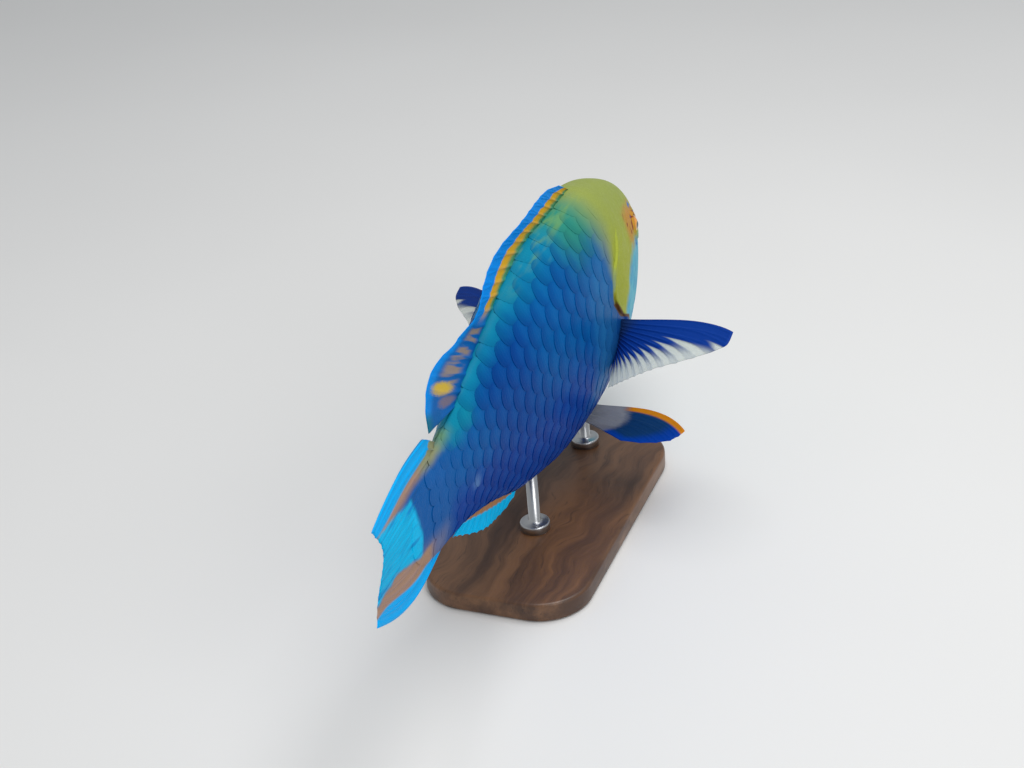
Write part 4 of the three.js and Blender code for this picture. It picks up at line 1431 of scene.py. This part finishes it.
def make_ray_group():
    tree, given, out = new_group(
        "fin_rays",
        [("Rays", "Vector")],
        [(label, "Float") for label in ("Ray", "Height", "Shade", "Broad", "Off")],
    )
    phase, v, ridge = parts_of(tree, given["Rays"])
    joints = eased(tree, maths(tree, "SINE", product(tree, v, JOINTS)), *JOINT_FADE)
    shade = streaks(tree, phase, v, FINE_STREAKS, 3.0, 4.0)
    height = scaled(tree, product(tree, joints, ridge), -JOINT_DEPTH, shade)
    feed(tree, out["Ray"], ridge)
    feed(tree, out["Height"], plus(tree, height, ridge))
    feed(tree, out["Shade"], shade)
    feed(tree, out["Broad"], streaks(tree, phase, v, BROAD_STREAKS, 1.0, 2.0))
    feed(tree, out["Off"], maths(tree, "ABSOLUTE", minus(tree, phase, maths(tree, "ROUND", phase))))
    return tree


ray_group = make_ray_group()


def fin_material(name, colour_of, clear_of=None):
    material, tree, shader = new_material(name, 0.42, coat=0.02, coat_roughness=0.25, shine=0.03)
    drawn = placed_group(tree, ray_group, Rays=attribute(tree, "rays"))
    u, v, _ = parts_of(tree, attribute(tree, "fin"))
    feed(tree, shader["Base Color"], colour_of(tree, u, v, drawn))
    feed(tree, shader["Normal"], bumped(tree, drawn["Height"], 0.3 * MM, 0.5))
    if clear_of:
        feed(tree, shader["Alpha"], clear_of(tree, u, v, drawn))
    return material


def with_rays(tree, drawn, colour, strength, tint):
    return tinted(tree, product(tree, drawn["Ray"], strength), colour, tint)


print("fin rays drawn by", len(ray_group.nodes), "nodes")

# %% [markdown]
# The dorsal fin is blue with a yellow band that turns green towards the back. Its lobe is blue,
# with brown streaks, a yellow and a mauve spot and a deep blue tip. The anal fin is brown at its
# root and cyan beyond, and the tail fin takes the bands that begin on the stalk. Places are
# shares, from the front to the rear of a fin and from its root to its margin, rather than spots
# on a painted map, so the colours stay right when the shape of a fin changes.

# %% Colours of the middle fins
# pairs of colours run from the first to the second
DORSAL_BLUE = (0, 118, 216), (8, 148, 236)
DORSAL_BAND = (74, 148, 108), (214, 164, 38)
BAND_UNEVEN, BAND_TURNS = (0.24, -0.12), (0.16, 0.36)
BAND_OUT, BAND_REAR = (0.61, 0.54), (0.74, 0.64)
LOBE_BLUE, LOBE_LIGHTENS = ((10, 96, 172), (2, 132, 220)), (0.74, 0.92)
LOBE_STREAK, STREAK_STRENGTH, STREAK_FADE = (168, 140, 86), 0.7, (0.46, 0.56)
STREAK_OUT, STREAK_ALONG = (0.24, 0.72, 0.12), (0.66, 0.93, 0.03)
# a spot is given by its middle and its half size, along the fin and outwards
LOBE_YELLOW, YELLOW_SPOT = (206, 174, 60), ((0.93, 0.58), (0.02, 0.3))
LOBE_MAUVE, MAUVE_SPOT, MAUVE_STRENGTH = (136, 114, 112), ((0.966, 0.36), (0.015, 0.26)), 0.75
SPOT_UNEVEN, SPOT_EDGE = (1.6, -0.8), (1.6, 0.2)
LOBE_DEEP, DEEP_DULLS = ((2, 92, 160), (20, 112, 136)), (0.75, 0.98)
DEEP_REAR, DEEP_OUT = (0.972, 0.988), (0.46, 0.6)
LOBE_BEGINS = (0.66, 0.74)
DORSAL_RAY = 0.12, (14, 96, 160)
ANAL_TONES, ANAL_UNEVEN, ANAL_EDGE = ((176, 126, 82), (0, 194, 252)), (0.12, -0.06), (0.4, 0.48)
ANAL_RAY = 0.15, (14, 110, 170)
CAUDAL_RAY = 0.12, (20, 100, 170)


def spot(tree, u, v, drawn, middle, half):
    """One inside an oval patch of a fin, with an uneven soft edge."""
    off = scaled(tree, drawn["Shade"], *SPOT_UNEVEN)
    for place, centre, reach in ((u, middle[0], half[0]), (v, middle[1], half[1])):
        aside = maths(tree, "DIVIDE", minus(tree, place, centre), reach)
        off = plus(tree, off, maths(tree, "POWER", aside, 2))
    return eased(tree, off, *SPOT_EDGE)


def lobe_colour(tree, u, v, drawn):
    colour = two_tone(tree, eased(tree, v, *LOBE_LIGHTENS), LOBE_BLUE)
    in_streak = product(
        tree,
        eased(tree, drawn["Broad"], *STREAK_FADE),
        between(tree, v, *STREAK_OUT),
        between(tree, u, *STREAK_ALONG),
        STREAK_STRENGTH,
    )
    colour = tinted(tree, in_streak, colour, LOBE_STREAK)
    colour = tinted(tree, spot(tree, u, v, drawn, *YELLOW_SPOT), colour, LOBE_YELLOW)
    mauve = product(tree, spot(tree, u, v, drawn, *MAUVE_SPOT), MAUVE_STRENGTH)
    colour = tinted(tree, mauve, colour, LOBE_MAUVE)
    deep = two_tone(tree, eased(tree, v, *DEEP_DULLS), LOBE_DEEP)
    at_tip = product(tree, eased(tree, u, *DEEP_REAR), eased(tree, v, *DEEP_OUT))
    return blended(tree, at_tip, colour, deep)


def dorsal_colour(tree, u, v, drawn):
    height = plus(tree, v, scaled(tree, drawn["Broad"], *BAND_UNEVEN))
    blue = two_tone(tree, drawn["Shade"], DORSAL_BLUE)
    band = two_tone(tree, eased(tree, height, *BAND_TURNS), DORSAL_BAND)
    in_band = product(tree, eased(tree, height, *BAND_OUT), eased(tree, u, *BAND_REAR))
    front = blended(tree, in_band, blue, band)
    colour = blended(tree, eased(tree, u, *LOBE_BEGINS), front, lobe_colour(tree, u, v, drawn))
    return with_rays(tree, drawn, colour, *DORSAL_RAY)


def anal_colour(tree, u, v, drawn):
    height = plus(tree, v, scaled(tree, drawn["Shade"], *ANAL_UNEVEN))
    colour = two_tone(tree, eased(tree, height, *ANAL_EDGE), ANAL_TONES)
    return with_rays(tree, drawn, colour, *ANAL_RAY)


def caudal_colour(tree, u, v, drawn):
    banded = placed_group(tree, tail_group, Straight=attribute(tree, "straight"))
    return with_rays(tree, drawn, banded["Color"], *CAUDAL_RAY)


for mesh, node_name, paint_name, colour_of, slot in (
    (dorsal_mesh, "dorsal_fin", "dorsal_fin_paint", dorsal_colour, "dorsal_skin"),
    (anal_mesh, "anal_fin", "anal_fin_paint", anal_colour, "anal_skin"),
    (caudal_mesh, "caudal_fin", "tail_fin_paint", caudal_colour, "caudal_skin"),
):
    add_piece(mesh, node_name + "_skin", fin_material(paint_name, colour_of), slot, node_name)

# %% [markdown]
# The pectoral fins are deep blue in front. Behind, their web is thin and whitish between the
# rays, and lets some of the light through. The web could be cut away there, but a half-clear one
# keeps the fin whole. The pelvic fins are blue at the margin and pale at the root, with an orange
# leading edge.

# %% Colours of the paired fins
PECTORAL_BLUE = (8, 50, 136), (20, 66, 156)
PECTORAL_ROOT, ROOT_FADE = (34, 62, 112), (0.24, 0.08)
PECTORAL_WHITE = (206, 216, 208)
# where the clear streaks start, towards the rear rays and towards the leading edge
CLEAR_REAR, CLEAR_FRONT = (0.3, 0.9, 0.5, 0.32), (0.06, 0.21, 0.5, 0)
# how a streak opens behind its start, where it joins the next, and how clear it gets
CLEAR_OPENS, CLEAR_SOFT, CLEAR_BEGINS = (0, 0.3, 0.5, 0.2), 0.1, (-0.02, 0.1)
CLEAR_JOINS, CLEAR_STRENGTH = (0.16, 0.46, 0, 0.85), (0.4, 1, 0.22, 0.6)
PELVIC_BLUE = (14, 58, 108), (28, 76, 130)
PELVIC_MARGIN, MARGIN_FADE = (10, 70, 176), (0.82, 0.95)
PELVIC_PALE, PALE_CLEAR = (146, 150, 162), 0.3
PALE_SLOPE, PALE_UNEVEN, PALE_SOFT = 0.25, (0.12, 0.36), (0.05, -0.06)
PELVIC_ORANGE, ORANGE_FRONT, ORANGE_OUT = (230, 142, 28), (0.16, 0.1), (0.38, 0.48)


def clear_part(tree, u, v, drawn):
    """White, see-through streaks that open between two rays and widen towards the margin."""
    start = plus(tree, eased(tree, u, *CLEAR_REAR), eased(tree, u, *CLEAR_FRONT))
    beyond = minus(tree, v, start)
    closed = eased(tree, beyond, *CLEAR_OPENS)
    streak = eased(tree, minus(tree, drawn["Off"], closed), -CLEAR_SOFT, CLEAR_SOFT)
    joined = maths(tree, "MAXIMUM", streak, eased(tree, beyond, *CLEAR_JOINS))
    return product(tree, joined, eased(tree, beyond, *CLEAR_BEGINS))


def pectoral_colour(tree, u, v, drawn):
    blue = two_tone(tree, drawn["Shade"], PECTORAL_BLUE)
    blue = tinted(tree, eased(tree, v, *ROOT_FADE), blue, PECTORAL_ROOT)
    return tinted(tree, clear_part(tree, u, v, drawn), blue, PECTORAL_WHITE)


def pectoral_clear(tree, u, v, drawn):
    strength = eased(tree, v, *CLEAR_STRENGTH)
    return minus(tree, 1, product(tree, clear_part(tree, u, v, drawn), strength))


def pale_part(tree, u, v, drawn):
    limit = scaled(tree, u, PALE_SLOPE, scaled(tree, drawn["Shade"], *PALE_UNEVEN))
    return eased(tree, minus(tree, v, limit), *PALE_SOFT)


def pelvic_colour(tree, u, v, drawn):
    blue = two_tone(tree, drawn["Shade"], PELVIC_BLUE)
    margin = eased(tree, maths(tree, "MAXIMUM", u, v), *MARGIN_FADE)
    blue = tinted(tree, margin, blue, PELVIC_MARGIN)
    colour = tinted(tree, pale_part(tree, u, v, drawn), blue, PELVIC_PALE)
    front = product(tree, eased(tree, u, *ORANGE_FRONT), eased(tree, v, *ORANGE_OUT))
    return tinted(tree, front, colour, PELVIC_ORANGE)


def pelvic_clear(tree, u, v, drawn):
    return minus(tree, 1, product(tree, pale_part(tree, u, v, drawn), PALE_CLEAR))


paired_looks = {
    "pectoral": (fin_material("pectoral_fin_paint", pectoral_colour, pectoral_clear), "pectoral_skin"),
    "pelvic": (fin_material("pelvic_fin_paint", pelvic_colour, pelvic_clear), "pelvic_skin"),
}
for name, mesh in paired_meshes.items():
    add_piece(mesh, name + "_skin", *paired_looks[name.split("_")[0]], name)

# %% [markdown]
# The eye is a ball with its pole turned outwards, so that the rings of the iris follow its rows.
# A fish's eye has no lids: the skin's rolled rim holds it. The pupil is dark, with a thin gold
# ring, and the iris is orange.

# %% Eyes
EYE_AROUND, EYE_RINGS = 64, 40
CORNEA_RISE, CORNEA_WIDTH = 0.05, 0.45
# rings of the eye, as shares of its radius: begin and end of each change of colour
PUPIL, PUPIL_EDGE = (6, 8, 14), (0.32, 0.345)
GOLD_RING, GOLD_EDGE = (240, 190, 90), (0.37, 0.4)
IRIS, IRIS_SPOKES = ((214, 120, 30), (238, 170, 70)), (5, 3)
IRIS_RIM, IRIS_EDGE = (150, 62, 24), (0.6, 0.78)


def eye_mesh(side):
    bm = bmesh.new()
    bmesh.ops.create_uvsphere(bm, u_segments=EYE_AROUND, v_segments=EYE_RINGS, radius=1)
    mesh = mesh_from(bm, "eye")
    ball = points_of(mesh)
    off = np.hypot(ball[:, 0], ball[:, 1])
    front = ball[:, 2] > 0
    out = ball[:, 2] * (1 + CORNEA_RISE * hump(off, 0, CORNEA_WIDTH) * front)
    middle = float(side_width(EYE_X, EYE_Z)) + EYE_STAND - EYE_RADIUS
    x = EYE_X + EYE_RADIUS * ball[:, 0]
    y = side * (middle + EYE_RADIUS * out)
    z = EYE_Z + EYE_RADIUS * ball[:, 1]
    set_points(mesh, bent(x, y, z))
    store(mesh, "gaze", np.stack([off + (1 - front) * 2, np.arctan2(ball[:, 1], ball[:, 0]), out], -1))
    turn_outwards(mesh)
    return mesh


def make_eye_material():
    material, tree, shader = new_material("glass_eye", 0.12, coat=1.0, coat_roughness=0.03)
    off, turn, _ = parts_of(tree, attribute(tree, "gaze"))
    iris = two_tone(tree, streaks(tree, turn, off, IRIS_SPOKES, 3.0, 4.0), IRIS)
    iris = tinted(tree, eased(tree, off, *IRIS_EDGE), iris, IRIS_RIM)
    colour = blended(tree, eased(tree, off, *GOLD_EDGE), paint(*GOLD_RING), iris)
    colour = blended(tree, eased(tree, off, *PUPIL_EDGE), paint(*PUPIL), colour)
    feed(tree, shader["Base Color"], colour)
    return material


eye_material = make_eye_material()
for side, name in ((1, "eye_left"), (-1, "eye_right")):
    add_piece(eye_mesh(side), name + "_glass", eye_material, "eye", name)

# %% [markdown]
# A parrotfish's teeth have grown together into two plates, like a beak. Each is half of one
# ball that fills the mouth, cut along the line where the plates meet, with rows of small fused
# teeth along the cutting edge.

# %% Beak
BEAK_DEPTH = 14
BEAK_STAND = 2.2
BEAK_SEAM = 0.6
BEAK_AROUND, BEAK_RINGS = 96, 64
# how much narrower and lower the beak is than the mouth
BEAK_ROOM_ASIDE, BEAK_ROOM_ABOVE = 1, 0.8
TEETH_RISE, TEETH_ROUND, TEETH_FADE = 0.022, 26, (0.05, 0.5)
SUTURE_DEPTH, SUTURE_WIDTH = 0.03, 0.05
FACE_STEPS = 30
BEAK_TONES, BEAK_FADE = ((190, 214, 196), (92, 178, 170)), (0.1, 0.9)
JOINT_TINT, JOINT_STRENGTH, JOINT_WIDTH, MOSAIC_SCALE = (70, 130, 126), 0.4, 0.2, 900


def face_depth(y, z):
    """How far back the skin lies from the snout, at a place on the face seen from the front."""
    near, far = 0.0, BODY_LENGTH / 2
    for _ in range(FACE_STEPS):
        x = (near + far) / 2
        if side_width(x, z) > abs(y):
            far = x
        else:
            near = x
    return far


def beak_mesh(part):
    bm = bmesh.new()
    bmesh.ops.create_uvsphere(bm, u_segments=BEAK_AROUND, v_segments=BEAK_RINGS, radius=1)
    bmesh.ops.rotate(bm, verts=bm.verts[:], matrix=Matrix.Rotation(math.pi / 2, 3, "Y"), cent=(0, 0, 0))
    half_height = MOUTH_HALF_HEIGHT - BEAK_ROOM_ABOVE
    cut = part * BEAK_SEAM / 2 / half_height
    bmesh.ops.bisect_plane(
        bm,
        geom=bm.verts[:] + bm.edges[:] + bm.faces[:],
        plane_co=(0, 0, cut),
        plane_no=(0, 0, -part),
        clear_outer=True,
    )
    bmesh.ops.holes_fill(bm, edges=[e for e in bm.edges if e.is_boundary], sides=0)
    bmesh.ops.recalc_face_normals(bm, faces=bm.faces[:])
    mesh = mesh_from(bm, "beak")
    ball = points_of(mesh)
    toward = np.arctan2(ball[:, 1], np.maximum(ball[:, 0], 0.01))
    near_edge = 1 - ease(np.abs(ball[:, 2]), *TEETH_FADE)
    teeth = TEETH_RISE * np.cos(toward * TEETH_ROUND) * near_edge
    suture = -SUTURE_DEPTH * hump(ball[:, 1], 0, SUTURE_WIDTH)
    grow = 1 + (teeth + suture) * (ball[:, 0] > 0.1)
    x = face_depth(0, MOUTH_HEIGHT) - BEAK_STAND + BEAK_DEPTH * (1 - ball[:, 0] * grow)
    y = (MOUTH_HALF_WIDTH - BEAK_ROOM_ASIDE) * ball[:, 1] * grow
    z = MOUTH_HEIGHT + half_height * ball[:, 2]
    set_points(mesh, bent(x, y, z))
    store(mesh, "tooth", np.stack([toward, np.abs(ball[:, 2]), ball[:, 1]], -1))
    turn_outwards(mesh)
    return mesh


def make_beak_material():
    material, tree, shader = new_material("fused_teeth", 0.3, coat=0.4, coat_roughness=0.12)
    _, height, _ = parts_of(tree, attribute(tree, "tooth"))
    cells = node(tree, "ShaderNodeTexVoronoi", feature="DISTANCE_TO_EDGE")
    feed(tree, cells.inputs["Vector"], object_place(tree))
    feed(tree, cells.inputs["Scale"], MOSAIC_SCALE)
    mosaic = eased(tree, cells.outputs["Distance"], 0, JOINT_WIDTH)
    colour = two_tone(tree, eased(tree, height, *BEAK_FADE), BEAK_TONES)
    joints = product(tree, minus(tree, 1, mosaic), JOINT_STRENGTH)
    feed(tree, shader["Base Color"], blended(tree, joints, colour, paint(*JOINT_TINT)))
    feed(tree, shader["Normal"], bumped(tree, mosaic, 0.2 * MM, 0.6))
    return material


beak_material = make_beak_material()
for part, name in ((1, "beak_upper"), (-1, "beak_lower")):
    add_piece(beak_mesh(part), name + "_teeth", beak_material, "beak", name)

# %% [markdown]
# The stand is plain, so that it doesn't compete with the fish: a plate of oiled walnut with
# rounded corners and two steel rods with turned feet. The plate is a box whose upright edges
# are bevelled wide and whose top and bottom edges are bevelled fine. The rods are profiles spun
# round their own axis.

# %% Stand
BASE_LENGTH, BASE_WIDTH, BASE_HEIGHT = 200, 100, 12
BASE_CORNER, BASE_BEVEL = 30, 2
ROD_RADIUS = 3.5
ROD_FOOT_RADIUS, ROD_FOOT_HEIGHT = 9, 5
ROD_INTO_BELLY = 6
ROD_PLACES = {"stand_rod_front": 106, "stand_rod_rear": 206}
FOOT_ROUND, ROD_FILLET, ROD_AROUND = 1, 1.2, 64
GAP = 0.3
NEARLY_NONE = 1e-6
# the grain is noise pulled out along the board, and swayed a little to the side
WALNUT, WALNUT_FADE, WALNUT_PORE = ((74, 48, 32), (124, 86, 56)), (0.35, 0.68), (46, 30, 20)
WOOD_STRETCH, WOOD_SWAY, SWAY_SCALE = (4, 42, 42), 2.2, 14
STEEL, STEEL_STRETCH = ((194, 196, 198), (201, 202, 203)), (60, 60, 1400)


def bevelled(bm, edges, width, steps):
    bmesh.ops.bevel(
        bm, geom=edges, offset=width * MM, affect="EDGES", segments=steps, profile=0.5, material=-1
    )


def base_mesh():
    bm = bmesh.new()
    bmesh.ops.create_cube(bm, size=1)
    size = (BASE_LENGTH * MM, BASE_WIDTH * MM, BASE_HEIGHT * MM)
    bmesh.ops.scale(bm, verts=bm.verts[:], vec=size)
    bmesh.ops.translate(bm, verts=bm.verts[:], vec=(0, 0, BASE_HEIGHT * MM / 2))
    upright = [e for e in bm.edges if abs(e.verts[0].co.z - e.verts[1].co.z) > 0.5 * size[2]]
    bevelled(bm, upright, BASE_CORNER, 20)
    level = [e for e in bm.edges if abs(e.verts[0].co.z - e.verts[1].co.z) < NEARLY_NONE]
    bevelled(bm, level, BASE_BEVEL, 4)
    return mesh_from(bm, "base")


def rod_mesh(from_snout):
    foot = BASE_HEIGHT + GAP
    top = AXIS_HEIGHT + float(belly_at(from_snout)) + ROD_INTO_BELLY
    round_edge = [
        (
            ROD_FOOT_RADIUS - FOOT_ROUND + FOOT_ROUND * math.sin(a),
            foot + ROD_FOOT_HEIGHT - FOOT_ROUND + FOOT_ROUND * math.cos(a),
        )
        for a in np.linspace(math.pi / 2, 0, 5)
    ]
    profile = [
        (0, foot),
        (ROD_FOOT_RADIUS, foot),
        *round_edge,
        (ROD_RADIUS + ROD_FILLET, foot + ROD_FOOT_HEIGHT),
        (ROD_RADIUS, foot + ROD_FOOT_HEIGHT + ROD_FILLET),
        (ROD_RADIUS, top),
        (0, top),
    ]
    bm = bmesh.new()
    chain = [bm.verts.new((r * MM, 0, z * MM)) for r, z in profile]
    edges = [bm.edges.new(pair) for pair in zip(chain, chain[1:])]
    bmesh.ops.spin(
        bm,
        geom=chain + edges,
        cent=(0, 0, 0),
        axis=(0, 0, 1),
        angle=2 * math.pi,
        steps=ROD_AROUND,
        use_merge=True,
    )
    bmesh.ops.remove_doubles(bm, verts=bm.verts[:], dist=NEARLY_NONE)
    bmesh.ops.recalc_face_normals(bm, faces=bm.faces[:])
    under = bent(from_snout, 0, 0)
    bmesh.ops.translate(bm, verts=bm.verts[:], vec=(under[0], under[1], 0))
    return mesh_from(bm, "rod")


def make_wood():
    material, tree, shader = new_material("oiled_walnut", 0.42, coat=0.15, coat_roughness=0.3)
    place = object_place(tree)
    sway = product(tree, noise(tree, place, SWAY_SCALE), WOOD_SWAY)
    swayed = node(tree, "ShaderNodeVectorMath", operation="ADD")
    feed(tree, swayed.inputs[0], stretched(tree, place, WOOD_STRETCH))
    feed(tree, swayed.inputs[1], vector_of(tree, 0, sway, 0))
    grain = noise(tree, swayed.outputs[0], 1.6, 6.0, 0.62)
    pores = noise(tree, swayed.outputs[0], 9.0, 4.0, 0.7)
    colour = two_tone(tree, eased(tree, grain, *WALNUT_FADE), WALNUT)
    colour = tinted(tree, eased(tree, pores, 0.56, 0.7, 0, 0.6), colour, WALNUT_PORE)
    feed(tree, shader["Base Color"], colour)
    feed(tree, shader["Roughness"], eased(tree, grain, 0.3, 0.7, 0.5, 0.36))
    feed(tree, shader["Normal"], bumped(tree, pores, 0.2 * MM, 0.4))
    return material


def make_steel():
    material, tree, shader = new_material("brushed_steel", 0.3)
    shader["Metallic"].default_value = 1
    lines = noise(tree, stretched(tree, object_place(tree), STEEL_STRETCH), 1.0)
    feed(tree, shader["Base Color"], two_tone(tree, lines, STEEL))
    feed(tree, shader["Roughness"], eased(tree, lines, 0.3, 0.7, 0.29, 0.31))
    return material


add_piece(base_mesh(), "stand_base_board", make_wood(), "stand_wood", "stand_base")
steel = make_steel()
for name, from_snout in ROD_PLACES.items():
    add_piece(rod_mesh(from_snout), name + "_steel", steel, "stand_steel", name)

# %% [markdown]
# The studio is as plain as the stand: a wide pale floor, one large soft light above, a weaker one
# from the camera's side and an even glow from all round.

# %% Studio
# place in metres, width in metres, power in watts
LIGHTS = {
    "top_light": ((0.1, -0.25, 1.5), 1.1, 14),
    "side_light": ((-1.0, -1.2, 0.9), 0.9, 7.5),
}
FLOOR_HALF, FLOOR_TONES = 6, ((228, 227, 225), (234, 233, 231))
GLOW, GLOW_STRENGTH = (226, 230, 234), 0.5


def soft_light(name, place, size, power):
    lamp = bpy.data.lights.new(name, "AREA")
    lamp.shape = "DISK"
    lamp.size = size
    lamp.energy = power
    light = bpy.data.objects.new(name, lamp)
    light.location = place
    light.rotation_mode = "QUATERNION"
    towards = Vector((0, 0, AXIS_HEIGHT * MM)) - Vector(place)
    light.rotation_quaternion = towards.to_track_quat("-Z", "Y")
    bpy.context.scene.collection.objects.link(light)


def make_floor():
    bm = bmesh.new()
    bmesh.ops.create_grid(bm, x_segments=2, y_segments=2, size=FLOOR_HALF)
    mesh = mesh_from(bm, "floor")
    material, tree, shader = new_material("pale_floor", 0.7)
    shade = noise(tree, object_place(tree), 3.0, 2.0)
    feed(tree, shader["Base Color"], two_tone(tree, shade, FLOOR_TONES))
    mesh.materials.append(material)
    floor = bpy.data.objects.new("floor", mesh)
    bpy.context.scene.collection.objects.link(floor)
    floor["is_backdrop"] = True


make_floor()
for name, (place, size, power) in LIGHTS.items():
    soft_light(name, place, size, power)
world = bpy.data.worlds.new("studio")
world.use_nodes = True
background = world.node_tree.nodes["Background"].inputs
background["Color"].default_value = paint(*GLOW)
background["Strength"].default_value = GLOW_STRENGTH
bpy.context.scene.world = world
bpy.context.scene.view_settings.view_transform = "Standard"

# %% Finish
visual_box = [list(corner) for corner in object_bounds()]
differ = (np.array(visual_box) - np.array(cad_box)) / MM
print("sizes differ by mm:", differ.round(1).tolist())
